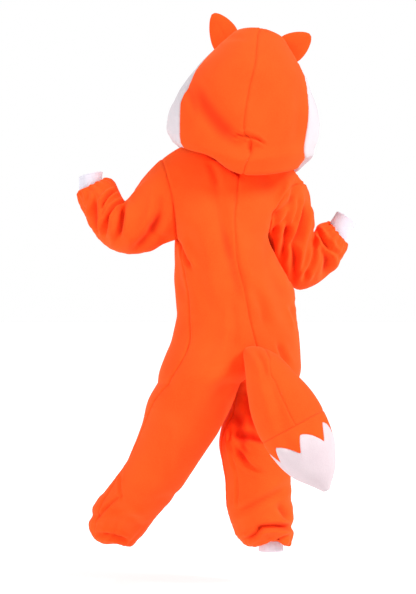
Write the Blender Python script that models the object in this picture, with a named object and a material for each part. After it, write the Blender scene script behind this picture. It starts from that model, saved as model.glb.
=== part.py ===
import bpy
import numpy as np
from mathutils import Vector
from mathutils.bvhtree import BVHTree

# All sizes are millimetres until a mesh is made. +Z is up, the wearer faces -Y and +X is the wearer's left.
TO_METRES = 0.001
FLEECE = 2.4  # thickness of the cloth wall
RIB = 2.2  # thickness of the knitted cuffs
SEAM = 0.17  # each piece stops this far short of the line it is sewn along
SEAT = 0.35  # how far a piece laid on another stands off it
SEAM_WIDTH = 1.3  # more than the gap at any seam
HOOD_ORIGIN = (-4.0, 0.0, -21.0)
HOOD_ROLL = 10.0  # degrees that the head leans to the wearer's right
NECK_PLACE = 0.35  # the neckline ends at the centre seams here, counted as the body rows are
UNDERARM = 8  # index of the body row that meets the underarm
BODY_COLUMNS = 9

# Places of the body rows: 0 shoulder seam, 1 underarm, 2 crotch, 3 ankle.
BODY_ROWS = (
    [0.0, 0.12, 0.24, 0.35, 0.5, 0.65, 0.8, 0.91, 1.0]
    + [1.08, 1.18, 1.29, 1.4, 1.5, 1.6, 1.7, 1.78, 1.85, 1.91, 1.96, 2.0]
    + [2.06, 2.14, 2.23, 2.33, 2.43, 2.54, 2.65, 2.75, 2.84, 2.9, 2.94, 2.97, 2.99, 3.0]
)
CROTCH = BODY_ROWS.index(2.0)

# place, centre x, y, z, width left, right, depth back, front, turn, split, seam angle left, right
TORSO = (
    (1.00, 30, 0, -178, 98, 98, 95, 92, 17, 0, 0, 0),
    (1.16, 19, 0, -226, 111, 111, 100, 96, 13, 0, 20, 2),
    (1.32, 5, 0, -273, 125, 125, 105, 100, 11, 0, 28, 4),
    (1.56, 0, 0, -346, 129, 129, 105, 102, 15, 0, 28, 6),
    (1.70, 2, 0, -388, 138, 138, 112, 104, 21, 0, 28, 8),
    (1.84, 7, 0, -430, 152, 146, 117, 104, 27, 0.25, 22, 8),
    (1.94, 4, 0, -460, 164, 137, 112, 100, 27, 0.72, 16, 8),
    (2.00, 2, 0, -477, 168, 130, 100, 94, 27, 1, 12, 8),
)
# place, centre x, y, z, width, depth back, front, turn, tilt, seam angle
LEG_LEFT = (
    (2.00, 77, 38, -477, 84, 100, 94, 27, 0, 12),
    (2.20, 99, 26, -524, 84, 92, 88, 25, 10, 8),
    (2.45, 132, 0, -598, 72, 80, 80, 20, 22, 0),
    (2.70, 180, -42, -684, 63, 68, 68, 14, 27, 0),
    (2.86, 227, -80, -745, 61, 64, 64, 10, 30, 20),
    (2.95, 259, -108, -787, 60, 60, 60, 8, 32, 32),
    (2.98, 270, -116, -811, 49, 50, 50, 8, 30, 32),
    (3.00, 270, -117, -815, 29.5, 31, 31, 8, 28, 32),
)
LEG_RIGHT = (
    (2.00, -56, -30, -477, 65, 100, 94, 27, 0, 8),
    (2.20, -58, -42, -525, 71, 90, 88, 26, 0, 8),
    (2.42, -47, -30, -600, 82, 84, 84, 20, -2, 8),
    (2.65, -46, -24, -679, 69, 74, 74, 14, -2, 8),
    (2.82, -51, -22, -749, 69, 70, 70, 10, 0, 8),
    (2.90, -57, -22, -784, 64, 66, 66, 6, 2, 8),
    (2.96, -63, -22, -811, 55, 58, 58, 2, 2, 8),
    (2.99, -70, -22, -823, 41, 43, 43, 0, 2, 8),
    (3.00, -74, -22, -822, 27.5, 29.5, 29.5, 0, 2, 8),
)
# place, x, y, z down the centre-back and centre-front seams between the neckline and the underarm row
CENTRE_BACK = ((0.5, -5, 72, -48), (0.65, -2, 80, -84), (0.8, 4, 86, -122), (0.91, 5, 90, -153))
CENTRE_FRONT = ((0.5, 8, -76, -80), (0.65, 22, -84, -106), (0.8, 38, -88, -134), (0.91, 50, -90, -158))
# place, back x, y, z, front x, y, z round each armhole from the shoulder tip towards the underarm
ARMHOLE_LEFT = (
    (0.00, 157, 12, -8, 157, 12, -8),
    (0.20, 148, 48, -32, 147, -22, -34),
    (0.45, 136, 66, -75, 134, -38, -77),
    (0.70, 129, 66, -120, 127, -34, -122),
    (0.88, 126, 50, -157, 125, -6, -158),
)
ARMHOLE_RIGHT = (
    (0.00, -146, -30, -58, -146, -30, -58),
    (0.20, -124, 10, -62, -141, -62, -70),
    (0.45, -94, 34, -94, -126, -88, -100),
    (0.70, -74, 30, -138, -100, -86, -140),
    (0.88, -66, 6, -166, -78, -62, -168),
)
# place, handle along the body at the centre, at the armhole, handle in depth at the armhole, rise
SHOULDER_HANDLES = (
    (0.00, 0.30, 0.30, 0, 16),
    (0.35, 0.42, 0.36, 6, 8),
    (0.65, 0.48, 0.22, 26, 2),
    (0.85, 0.50, 0.07, 44, 0),
    (1.00, 0.50, 0.00, 52, 0),
)
SHOULDER_RISE = {1: 1, -1: 0.3}  # share of the rise on the left and right
# place, upper edge x, z, lower edge x, z, centre y, half depth
SLEEVE_LEFT = (
    (0.00, 157, -8, 124, -178, 14, 52),
    (0.15, 183, -34, 152, -188, 10, 60),
    (0.30, 209, -67, 190, -204, 4, 60),
    (0.42, 228, -95, 226, -209, -3, 57),
    (0.52, 237, -93, 262, -199, -8, 54),
    (0.62, 245, -79, 290, -176, -13, 51),
    (0.74, 252, -64, 308, -146, -20, 49),
    (0.85, 261, -52, 324, -112, -27, 46),
    (0.93, 271, -47, 333, -90, -32, 42),
    (0.98, 279, -46, 335, -79, -35, 35),
    (1.00, 282, -52, 334, -74, -36, 29),
)
SLEEVE_RIGHT = (
    (0.00, -146, -58, -64, -178, -28, 55),
    (0.15, -153, -80, -88, -196, -46, 58),
    (0.30, -161, -120, -98, -242, -64, 54),
    (0.42, -166, -146, -115, -273, -74, 52),
    (0.52, -168, -158, -139, -282, -80, 50),
    (0.62, -171, -153, -170, -272, -87, 50),
    (0.74, -176, -144, -200, -251, -93, 48),
    (0.85, -187, -139, -222, -228, -98, 45),
    (0.93, -199, -138, -237, -198, -102, 40),
    (0.98, -200, -138, -240, -183, -104, 35),
    (1.00, -198, -142, -238, -180, -105, 30),
)
SLEEVE_ROWS = [0, 0.06, 0.13, 0.2, 0.28, 0.36, 0.43, 0.49, 0.55, 0.62, 0.7, 0.78, 0.86, 0.92, 0.96, 0.985, 1.0]
# sewn end x, y, z, free end x, y, z, direction across x, z at each end, half width, half depth
CUFFS = {
    "cuff_left": (308, -36, -67, 307, -38, -39, 0.92, -0.40, 0.97, -0.23, 25.8, 26.6),
    "cuff_right": (-217, -104.5, -164, -231, -110, -128, -0.72, -0.69, -0.84, -0.54, 24.8, 26.4),
    "ankle_cuff_left": (263, -112, -793, 269, -117, -813, 0.88, 0.47, 0.88, 0.47, 26.9, 28.4),
    "ankle_cuff_right": (-74, -22, -812, -74, -22, -834, 1.0, 0.0, 1.0, 0.0, 26.3, 28.1),
}
# x0, z0, x1, z1, width, depth of the main folds seen on the back
FOLDS = (
    (52, -48, 8, -195, 20, 5),
    (8, -195, -29, -357, 20, 5),
    (158, -100, 204, -195, 15, 6),
    (298, -94, 292, -164, 13, 5),
    (241, -107, 246, -168, 13, 5),
    (-103, -151, -101, -227, 14, 5),
    (-136, -151, -118, -260, 14, 6),
    (10, -609, -73, -678, 18, 6),
    (-8, -758, -97, -710, 15, 5),
    (-25, -804, -107, -781, 14, 5),
    (286, -794, 229, -811, 14, 4),
)
# height at the side, back and front, width, depth back, front, shift, cheek seam angle, face edge angle
HOOD = (
    (0.0, 21.5, -0.5, -38.5, 61, 57, 57, 0, 31, -80),
    (1.0, 25, -19, -28, 102, 96, 73, -2, 31, -72),
    (2.0, 21, -25, -18, 141, 124, 90, -4, 31, -62),
    (3.0, 36, -3, 0, 155, 136, 103, 0, 31, -54),
    (4.0, 60, 37, 28, 158, 141, 116, 3, 33, -46),
    (5.0, 92, 84, 70, 158, 144, 124, 2, 34, -40),
    (6.0, 125, 124, 110, 151, 142, 128, 0, 33, -38),
    (7.0, 162, 164, 148, 135, 134, 128, 0, 28, -42),
    (8.0, 198, 203, 180, 114, 120, 122, 0, 19, -52),
    (9.0, 231, 239, 207, 89, 98, 110, 1, 4, -64),
    (10.0, 261, 267, 231, 65, 74, 100, 2, -28, -74),
    (11.0, 281, 284, 248, 43, 56, 92, 1, -56, -80),
    (12.0, 289, 290, 258, 0, 46, 86, 0, -72, -86),
)
HOOD_SEAM_TURN = {1: 4, -1: 0}  # degrees added to the cheek seam angle on the left and right
HOOD_ROWS = [0, 0.6, 1.3, 2, 2.6, 3.3, 4, 4.8, 5.6, 6.5, 7.3, 8, 8.7, 9.4, 10, 10.6, 11.2, 11.7, 12]
# middle of the base, tip, direction across, and half width at the base
EARS = {
    "left": {"base": (15, -34, 234), "tip": (48, -38, 302), "side": (0.87, -0.49), "width": 31},
    "right": {"base": (-101, -34, 218), "tip": (-158, -38, 257), "side": (-0.55, -0.84), "width": 31},
}
# place, half width as a share
EAR_SHAPE = ((0, 1.0), (0.25, 1.0), (0.5, 0.86), (0.75, 0.6), (0.92, 0.33), (1, 0.13))
# place, centre x, y, z, half width, half thickness, lean of the section
TAIL = (
    (0.00, -46, 104, -411, 36, 24, 20),
    (0.09, -49, 138, -418, 38, 27, 22),
    (0.18, -56, 155, -439, 42, 34, 25),
    (0.30, -69, 162, -472, 53, 42, 29),
    (0.45, -88, 167, -513, 66, 45, 33),
    (0.60, -110, 170, -555, 70, 45, 34),
    (0.74, -130, 172, -592, 66, 43, 30),
    (0.86, -147, 172, -625, 56, 37, 22),
    (0.95, -165, 171, -657, 36, 26, 16),
    (1.00, -178, 170, -684, 10, 8, 14),
)
TAIL_COLUMNS = 24
TAIL_INWARD = (0.4, -0.9, 0.17)  # from the tail towards the seat it is sewn on
TAIL_HOLLOW = 4.0  # how far the middle of its end stands off the seat
BAND_TOP = 0.615
TIP_TOP = 0.735
TEETH = 6
ZIGZAG = 0.055  # half height of the points of the white tip, as a share of the tail


def unit(vectors):
    return vectors / np.maximum(np.linalg.norm(vectors, axis=-1, keepdims=True), 1e-9)


def along(rows, places):
    """The columns of a table at these places, on a smooth curve through its rows."""
    rows = np.array(rows, float)
    places = np.asarray(places, float)
    start, values = rows[:, 0], rows[:, 1:]
    slope = np.gradient(values, start, axis=0)
    i = np.clip(np.searchsorted(start, places, side="right") - 1, 0, len(start) - 2)
    gap = (start[i + 1] - start[i])[:, None]
    t = (places - start[i])[:, None] / gap
    return (
        (2 * t**3 - 3 * t**2 + 1) * values[i]
        + (t**3 - 2 * t**2 + t) * gap * slope[i]
        + (3 * t**2 - 2 * t**3) * values[i + 1]
        + (t**3 - t**2) * gap * slope[i + 1]
    )


def across(turn, tilt):
    """The direction to the wearer's left, turned about Z and tilted up, for each row."""
    turn, tilt = np.radians(turn), np.radians(tilt)
    return np.stack([np.cos(turn) * np.cos(tilt), np.sin(turn) * np.cos(tilt), np.sin(tilt)], -1)


def backwards(turn):
    turn = np.radians(turn)
    return np.stack([-np.sin(turn), np.cos(turn), np.zeros_like(turn)], -1)


def hood_frame():
    roll = np.radians(HOOD_ROLL)
    side = np.array([np.cos(roll), 0, np.sin(roll)])
    up = np.array([-np.sin(roll), 0, np.cos(roll)])
    return np.array(HOOD_ORIGIN), side, np.array([0, 1.0, 0]), up


def hood_points(places, angles, side):
    """Rows of the hood: an ellipse round the head at each place, whose height changes from side to back and front."""
    low, back, front, width, deep_back, deep_front, shift = along(HOOD, places)[:, :7].T[:, :, None]
    sine, cosine = np.sin(np.radians(angles)), np.cos(np.radians(angles))
    height = low + np.where(sine > 0, back - low, front - low) * sine**2
    x = shift + side * width * cosine
    y = -5 + np.where(sine > 0, deep_back, deep_front) * sine
    origin, right, depth, up = hood_frame()
    return origin + x[..., None] * right + y[..., None] * depth + height[..., None] * up


def neck_points(angles, side):
    """The neckline of the body, just under the first row of the hood."""
    sine, cosine = np.sin(np.radians(angles)), np.cos(np.radians(angles))
    height = 20 + np.where(sine > 0, -22, -62) * sine**2
    origin, right, depth, up = hood_frame()
    ring = side * 62.5 * cosine[:, None] * right + (58.5 * sine[:, None] - [5.0]) * depth
    return origin + ring + height[:, None] * up


def ring_points(row, angles):
    """Points of an ellipse at these angles, one row of angles to each row of the table."""
    centre, wide, deep, right, back = row
    sine, cosine = np.sin(np.radians(angles)), np.cos(np.radians(angles))
    deep = np.where(sine > 0, deep[0][:, None], deep[1][:, None])
    return (
        centre[:, None]
        + (wide[:, None] * cosine)[..., None] * right[:, None]
        + (deep * sine)[..., None] * back[:, None]
    )


def body_panel(places, side, facing, columns):
    """One panel from the shoulder to the ankle: facing is 1 for the back and -1 for the front."""
    places = np.array(places)
    grid = np.zeros((len(places), columns, 3))
    share = np.linspace(0, 1, columns)
    torso = (places >= 1) & (places <= 2)
    leg = places > 2
    upper = places < 1

    values = along(TORSO, places[torso])
    right = across(values[:, 7], np.zeros(len(values)))
    back = backwards(values[:, 7])
    split = np.clip(values[:, 8], 0, 1)
    wide = values[:, 3] if side > 0 else values[:, 4]
    reach = wide / (1 + split)
    centre = values[:, :3] + (side * reach * split)[:, None] * right
    first = np.degrees(np.arccos(-split))
    last = values[:, 9] if side > 0 else values[:, 10]
    angles = facing * first[:, None] + (last - facing * first)[:, None] * share
    grid[torso] = ring_points((centre, side * reach, (values[:, 5], values[:, 6]), right, back), angles)

    values = along(LEG_LEFT if side > 0 else LEG_RIGHT, places[leg])
    right = across(values[:, 6], values[:, 7])
    angles = facing * 180 + (values[:, 8] - facing * 180)[:, None] * share
    grid[leg] = ring_points(
        (values[:, :3], side * values[:, 3], (values[:, 4], values[:, 5]), right, backwards(values[:, 6])), angles
    )

    meeting = grid[np.flatnonzero(torso)[0]]
    neck = places[upper] <= NECK_PLACE + 1e-9
    edge = np.zeros((upper.sum(), 3))
    edge[neck] = neck_points(facing * 90 * places[upper][neck] / NECK_PLACE, side)
    seam = CENTRE_BACK if facing > 0 else CENTRE_FRONT
    ends = [(NECK_PLACE, *neck_points(np.array([facing * 90.0]), side)[0])], [(1.0, *meeting[0])]
    edge[~neck] = along(ends[0] + list(seam) + ends[1], places[upper][~neck])
    hole = np.array(ARMHOLE_LEFT if side > 0 else ARMHOLE_RIGHT)
    hole = hole[:, [0, 1, 2, 3]] if facing > 0 else hole[:, [0, 4, 5, 6]]
    rim = along(np.vstack([hole, [1.0, *meeting[-1]]]), places[upper])
    near, far, deep, rise = along(SHOULDER_HANDLES, places[upper]).T[:, :, None]
    turn = along(((0, 4), (1, 17)), places[upper])[:, 0]
    right, back = side * across(turn, 0 * turn), facing * backwards(turn)
    span = np.linalg.norm(rim - edge, axis=1, keepdims=True)
    lift = SHOULDER_RISE[side] * rise * np.array([0, 0, 1.0])
    start = edge + near * span * right + lift
    end = rim - far * span * right + deep * back * np.minimum(1, span / 110) + lift
    u = share[None, :, None]
    grid[upper] = (
        (1 - u) ** 3 * edge[:, None]
        + 3 * u * (1 - u) ** 2 * start[:, None]
        + 3 * u**2 * (1 - u) * end[:, None]
        + u**3 * rim[:, None]
    )
    return grid


def sleeve_tube(table, loop, places, angles):
    """Rings along a sleeve. The first is the armhole, and it changes to plain rings over the first third."""
    values = along(table, places)
    top = np.stack([values[:, 0], values[:, 4], values[:, 1]], -1)
    low = np.stack([values[:, 2], values[:, 4], values[:, 3]], -1)
    sine, cosine = np.sin(np.radians(angles)), np.cos(np.radians(angles))
    depth = np.array([0, 1.0, 0])
    tube = (top + low)[:, None] / 2 + (top - low)[:, None] / 2 * cosine[:, None]
    tube = tube + (values[:, 5, None] * sine)[..., None] * depth
    fade = np.clip(1 - np.array(places) / 0.35, 0, 1)
    fade = (fade**2 * (3 - 2 * fade))[:, None, None]
    return tube + (loop - tube[0]) * fade


def folded(points):
    """Each fold is a trough along a line, pushed forward, that dies out at its ends and towards the front."""
    x, y, z = points[..., 0], points[..., 1], points[..., 2]
    weight = np.clip((y + 30) / 60, 0, 1)
    push = np.zeros_like(x)
    for x0, z0, x1, z1, width, depth in FOLDS:
        length = np.hypot(x1 - x0, z1 - z0)
        t = ((x - x0) * (x1 - x0) + (z - z0) * (z1 - z0)) / length**2
        away = np.abs((x - x0) * (z1 - z0) - (z - z0) * (x1 - x0)) / length
        ends = np.maximum(np.abs(t - 0.5) - 0.4, 0) * length
        push += depth * np.exp(-((away / width) ** 2) - (ends / width) ** 2)
    moved = points.copy()
    moved[..., 1] -= push * weight
    return moved


def normals(grid, closed=False):
    """Unit normals of a grid of points, with the rows joined end to end if closed."""
    if closed:
        wrapped = np.concatenate([grid[:, -1:], grid, grid[:, :1]], axis=1)
        around = (wrapped[:, 2:] - wrapped[:, :-2]) / 2
    else:
        around = np.gradient(grid, axis=1)
    return unit(np.cross(around, np.gradient(grid, axis=0)))


def pulled(outer, inner, closed=False, amount=SEAM, sides=(1, 1, 1, 1)):
    """Moves the edges of a piece in from the seam lines. Sides are first row, last row, first and last column."""
    shift = np.zeros_like(outer)
    shift[0] += sides[0] * amount * unit(outer[1] - outer[0])
    shift[-1] += sides[1] * amount * unit(outer[-2] - outer[-1])
    if not closed:
        shift[:, 0] += sides[2] * amount * unit(outer[:, 1] - outer[:, 0])
        last = np.broadcast_to(sides[3], len(outer))[:, None]
        shift[:, -1] += last * amount * unit(outer[:, -2] - outer[:, -1])
    return outer + shift, inner + shift


def material(name, colour, roughness):
    made = bpy.data.materials.new(name)
    made.use_nodes = True
    surface = made.node_tree.nodes["Principled BSDF"]
    surface.inputs["Base Color"].default_value = (*colour, 1)
    surface.inputs["Roughness"].default_value = roughness
    made.diffuse_color = (*colour, 1)
    return made


def add_piece(name, points, triangles, colour, roughness=0.9):
    corners = points[triangles]
    volume = np.einsum("ij,ij->", corners[:, 0], np.cross(corners[:, 1], corners[:, 2]))
    if volume < 0:
        triangles = triangles[:, ::-1]
    mesh = bpy.data.meshes.new(name)
    mesh.from_pydata((points * TO_METRES).tolist(), [], triangles.tolist())
    mesh.materials.append(material(name, colour, roughness))
    mesh.shade_smooth()
    made = bpy.data.objects.new(name, mesh)
    collection.objects.link(made)
    return made


def strip(first, second):
    """Two triangles to each step between two lines of point numbers."""
    a, b, c, d = first[:-1], first[1:], second[1:], second[:-1]
    return np.concatenate([np.stack([a, b, c], -1), np.stack([a, c, d], -1)])


def wall(name, outer, inner, colour, closed=False):
    """A piece of cloth between an outer and an inner grid of points, closed round its edges."""
    rows, columns = outer.shape[:2]
    number = np.arange(rows * columns).reshape(rows, columns)
    if closed:
        number = np.concatenate([number, number[:, :1]], axis=1)
    beneath = number + rows * columns
    faces = [strip(number[i], number[i + 1]) for i in range(rows - 1)]
    faces += [strip(beneath[i], beneath[i + 1])[:, ::-1] for i in range(rows - 1)]
    faces += [strip(beneath[0], number[0]), strip(number[-1], beneath[-1])]
    if not closed:
        faces += [strip(number[:, 0], beneath[:, 0]), strip(beneath[:, -1], number[:, -1])]
    points = np.concatenate([outer.reshape(-1, 3), inner.reshape(-1, 3)])
    return add_piece(name, points, np.concatenate(faces), colour)


def filled(name, loops, colour, first_middle, last_middle):
    """A stuffed piece: closed loops in a row, and a middle point at each end."""
    rows, columns = loops.shape[:2]
    number = np.arange(rows * columns).reshape(rows, columns)
    number = np.concatenate([number, number[:, :1]], axis=1)
    faces = [strip(number[i], number[i + 1]) for i in range(rows - 1)]
    for row, middle in ((0, rows * columns), (-1, rows * columns + 1)):
        fan = np.stack([number[row, 1:], number[row, :-1], np.full(columns, middle)], -1)
        faces.append(fan if row == 0 else fan[:, ::-1])
    points = np.concatenate([loops.reshape(-1, 3), [first_middle, last_middle]])
    return add_piece(name, points, np.concatenate(faces), colour)


def seated(points, direction, carriers, lift):
    """The points moved along the direction onto the carriers, then lifted off. Rays beside each skip the seams."""
    trees = [
        BVHTree.FromPolygons(
            [tuple(v.co) for v in made.data.vertices], [tuple(p.vertices) for p in made.data.polygons]
        )
        for made in carriers
    ]
    direction = unit(np.array(direction, float))
    beside = SEAM_WIDTH * np.array([[0, 0, 0], [1, 0, 0], [-1, 0, 0], [0, 1, 0], [0, -1, 0]])
    result = []
    for point in points:
        hits = []
        for shift in beside:
            start = Vector((point + shift - 300 * direction) * TO_METRES)
            found = [tree.ray_cast(start, Vector(direction)) for tree in trees]
            hits += [min((hit for hit in found if hit[0] is not None), key=lambda hit: hit[3])]
        hits.sort(key=lambda hit: hit[3])
        middle = hits[1]
        normal = np.array(middle[1])
        normal *= -np.sign(normal @ direction)
        result.append(point + (middle[3] / TO_METRES - 300) * direction + lift * normal)
    return np.array(result)


for old in list(bpy.data.objects):
    bpy.data.objects.remove(old)
collection = bpy.data.collections.new("fox_costume")
bpy.context.scene.collection.children.link(collection)

ORANGE = (1.0, 0.105, 0.014)
WHITE = (0.86, 0.84, 0.87)

# The four body panels, whose shared edges take the same points and the same normals.
panel = {(s, f): folded(body_panel(BODY_ROWS, s, f, BODY_COLUMNS)) for s in (1, -1) for f in (1, -1)}
outward = {key: normals(grid) * (key[0] * key[1]) for key, grid in panel.items()}
row_neck = BODY_ROWS.index(NECK_PLACE)
for f in (1, -1):
    shared = unit(outward[1, f][:, 0] + outward[-1, f][:, 0])
    for s in (1, -1):
        outward[s, f][row_neck:CROTCH, 0] = shared[row_neck:CROTCH]
for s in (1, -1):
    side_seam = unit(outward[s, 1][UNDERARM:, -1] + outward[s, -1][UNDERARM:, -1])
    inseam = unit(outward[s, 1][CROTCH + 1 :, 0] + outward[s, -1][CROTCH + 1 :, 0])
    shoulder = unit(outward[s, 1][0] + outward[s, -1][0])
    for f in (1, -1):
        outward[s, f][UNDERARM:, -1] = side_seam
        outward[s, f][CROTCH + 1 :, 0] = inseam
        outward[s, f][CROTCH, 0] = (0, 0, -1)
        outward[s, f][0] = shoulder

# The sleeves start from the armholes, and share their normals with the panels there.
sleeves = {}
for s, table in ((1, SLEEVE_LEFT), (-1, SLEEVE_RIGHT)):
    rim_back = panel[s, 1][: UNDERARM + 1, -1]
    rim_front = panel[s, -1][1:UNDERARM, -1][::-1]
    loop = np.concatenate([rim_back, rim_front])
    turn_back = 180 * np.array(BODY_ROWS[: UNDERARM + 1])
    angles = np.concatenate([turn_back, 360 - turn_back[1:-1][::-1]])
    tube = sleeve_tube(table, loop, SLEEVE_ROWS, angles)
    tube[1:] = folded(tube[1:])
    facing_out = normals(tube, closed=True) * -s
    edge = np.concatenate([outward[s, 1][: UNDERARM + 1, -1], outward[s, -1][1:UNDERARM, -1][::-1]])
    edge = unit(edge + facing_out[0])
    facing_out[0] = edge
    outward[s, 1][: UNDERARM + 1, -1] = edge[: UNDERARM + 1]
    outward[s, -1][1:UNDERARM, -1] = edge[UNDERARM + 1 :][::-1]
    outward[s, -1][[0, UNDERARM], -1] = edge[[0, UNDERARM]]
    sleeves[s] = (tube, facing_out)

side_name = {1: "left", -1: "right"}
face_name = {1: "back", -1: "front"}
rim_pull = np.where(np.arange(len(BODY_ROWS)) <= UNDERARM, 4, 1)
for (s, f), grid in panel.items():
    outer, inner = pulled(grid, grid - FLEECE * outward[s, f], sides=(1, 1, 1, rim_pull))
    wall(face_name[f] + "_" + side_name[s], outer, inner, ORANGE)
for s, (tube, facing_out) in sleeves.items():
    outer, inner = pulled(tube, tube - FLEECE * facing_out, closed=True, amount=3 * SEAM)
    wall("sleeve_" + side_name[s], outer, inner, ORANGE, closed=True)

# The placket lies on the first columns of the two front panels.
PLACKET_ROWS = slice(row_neck + 1, BODY_ROWS.index(1.7) + 1)
PLACKET_REACH = 13.0
left, right = panel[1, -1][PLACKET_ROWS], panel[-1, -1][PLACKET_ROWS]
strip_left = left[:, 0] + PLACKET_REACH * unit(left[:, 1] - left[:, 0])
strip_right = right[:, 0] + PLACKET_REACH * unit(right[:, 1] - right[:, 0])
laid = np.stack([strip_left, left[:, 0], strip_right], axis=1)
lift = outward[1, -1][PLACKET_ROWS, :1]
wall("front_placket", laid + (2.5 * SEAT + 1.8) * lift, laid + 2.5 * SEAT * lift, ORANGE)

# The cuffs are short tubes of rib knit.
for name, row in CUFFS.items():
    start, end = np.array(row[:3], float), np.array(row[3:6], float)
    first, last = np.array([row[6], 0, row[7]]), np.array([row[8], 0, row[9]])
    turn = np.radians(np.arange(0, 360, 20))
    rings = []
    for t, grown in ((0, 0.97), (0.3, 1), (1, 1)):
        sideways = unit(first + (last - first) * t)
        depth = unit(np.cross(sideways, end - start))
        ring = row[10] * np.cos(turn)[:, None] * sideways + row[11] * np.sin(turn)[:, None] * depth
        rings.append(start + (end - start) * t + grown * ring)
    outer = np.array(rings)
    middle_line = outer.mean(axis=1, keepdims=True)
    inner = outer - RIB * unit(outer - middle_line)
    wall(name, outer, inner, WHITE, closed=True)

# The hood: an orange back and a white cheek on each side.
places = np.array(HOOD_ROWS)
seam_angle, edge_angle = along(HOOD, places)[:, 7:].T
hood_side = hood_frame()[1]
hood_objects = []
for s in (1, -1):
    share = np.concatenate([np.linspace(0, 1, 9), 1 + np.linspace(0, 1, 7)[1:]])
    seam = seam_angle[:, None] + HOOD_SEAM_TURN[s]
    angles = np.where(
        share <= 1,
        90 + (seam - 90) * share,
        seam + (edge_angle[:, None] - seam) * (share - 1),
    )
    grid = hood_points(places, angles, s)
    facing_out = normals(grid) * -s
    for line in (np.s_[:, 0], np.s_[-1, :]):
        sideways = facing_out[line] @ hood_side
        facing_out[line] = unit(facing_out[line] - sideways[:, None] * hood_side)
    inner = grid - FLEECE * facing_out
    for name, part in (("hood_back_", np.s_[:, :9]), ("hood_cheek_", np.s_[:, 8:])):
        outer_part, inner_part = pulled(grid[part], inner[part], amount=3 * SEAM)
        colour = ORANGE if name == "hood_back_" else WHITE
        hood_objects.append(wall(name + side_name[s], outer_part, inner_part, colour))

# The ears stand on the hood. Each is a back and a front piece of the same leaf shape.
for side, ear in EARS.items():
    base, tip = np.array(ear["base"], float), np.array(ear["tip"], float)
    right = np.array([ear["side"][0], 0, ear["side"][1]])
    rise = np.linspace(0, 1, 8)
    width = ear["width"] * along(EAR_SHAPE, rise)[:, 0]
    t = np.linspace(-1, 1, 13)
    leaf = base + rise[:, None, None] * (tip - base) + (width[:, None] * t)[..., None] * right
    bulge = (5 * (1 - t**2))[None, :, None] * np.sqrt(np.clip(width / ear["width"], 0, 1))[:, None, None]
    direction = -unit(tip - base)
    for name, way in (("back", 1), ("front", -1)):
        near = leaf + way * (SEAM + 0.05) * np.array([0, 1, 0]) + way * bulge * np.array([0, 1, 0])
        far = near + way * 1.6 * np.array([0, 1, 0])
        for layer in (near, far):
            drop = seated(layer[0], direction, hood_objects, 3 * SEAT) - layer[0]
            layer += drop * (1 - rise[:, None, None]) ** 0.8
        wall("ear_" + side + "_" + name, far, near, ORANGE)

# The tail: two orange halves, a band with a zigzag lower edge, and a white tip.
def tail_loops(places, angles):
    """Rings of the tail. A place may change round the ring, so that an edge can zigzag."""
    shape = places.shape
    values = along(TAIL, places.ravel()).reshape(*shape, 6)
    heading = (along(TAIL, places.ravel() + 0.01) - along(TAIL, places.ravel() - 0.01))[:, :3]
    axis = unit(heading.reshape(*shape, 3))
    lean = np.radians(values[..., 5])
    wide = np.stack([np.cos(lean), 0 * lean, np.sin(lean)], -1)
    wide = unit(wide - (wide * axis).sum(-1, keepdims=True) * axis)
    thick = np.cross(wide, axis)
    thick *= np.sign(thick[..., 1:2])
    sine, cosine = np.sin(np.radians(angles)), np.cos(np.radians(angles))
    ring = (values[..., 3] * cosine)[..., None] * wide + (values[..., 4] * sine)[..., None] * thick
    return values[..., :3] + ring


angles = np.arange(TAIL_COLUMNS) * 360 / TAIL_COLUMNS
rise = (angles * TEETH / 360 - 0.25) % 1
zigzag = ZIGZAG * (1 - 2 * np.minimum(rise / 0.75, (1 - rise) / 0.25))
whole = np.ones(TAIL_COLUMNS)
carriers = [collection.objects["back_left"], collection.objects["back_right"]]
half = TAIL_COLUMNS // 2 + 1
for name, columns in (("tail_left", np.r_[-6:7]), ("tail_right", np.r_[18:5:-1])):
    columns = columns % TAIL_COLUMNS
    rows = np.array([0.0, 0.05, 0.1, 0.16, 0.22, 0.29, 0.36, 0.43, 0.52, BAND_TOP - 0.0006])
    grid = tail_loops(rows[:, None] * whole[columns], angles[columns])
    core = along(TAIL, rows)[:, None, :3]
    grid = np.concatenate([grid, core], axis=1)
    grid[0] = seated(grid[0], TAIL_INWARD, carriers, 2 * SEAT)
    grid[0, -1:] = seated(core[0], TAIL_INWARD, carriers, TAIL_HOLLOW)
    shift = np.zeros_like(grid)
    shift[:, 0] = SEAM * unit(grid[:, 1] - grid[:, 0])
    shift[:, -2] = SEAM * unit(grid[:, -3] - grid[:, -2])
    shift[:, -1] = SEAM * unit(grid[:, (half - 1) // 2] - grid[:, -1])
    grid = grid + shift
    base = seated(grid[:1].mean(axis=1), TAIL_INWARD, carriers, TAIL_HOLLOW)[0]
    filled(name, grid, ORANGE, base, grid[-1].mean(axis=0))
rows = np.linspace(0, 1, 6)[:, None]
edge_low = TIP_TOP + zigzag
start = (BAND_TOP + 0.0006) * whole
grid = tail_loops(start + rows * (edge_low - 0.0006 - start), angles)
filled("tail_band", grid, ORANGE, grid[0].mean(axis=0), grid[-1].mean(axis=0))
rows = (1 - (1 - np.linspace(0, 1, 9)) ** 1.35)[:, None]
start = edge_low + 0.0006
grid = tail_loops(start + rows * (1 - start), angles)
filled("tail_tip", grid, WHITE, grid[0].mean(axis=0), 2.2 * grid[-1].mean(axis=0) - 1.2 * grid[-2].mean(axis=0))
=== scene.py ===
import bpy
import numpy as np
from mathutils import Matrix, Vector
from mathutils.bvhtree import BVHTree


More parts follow.
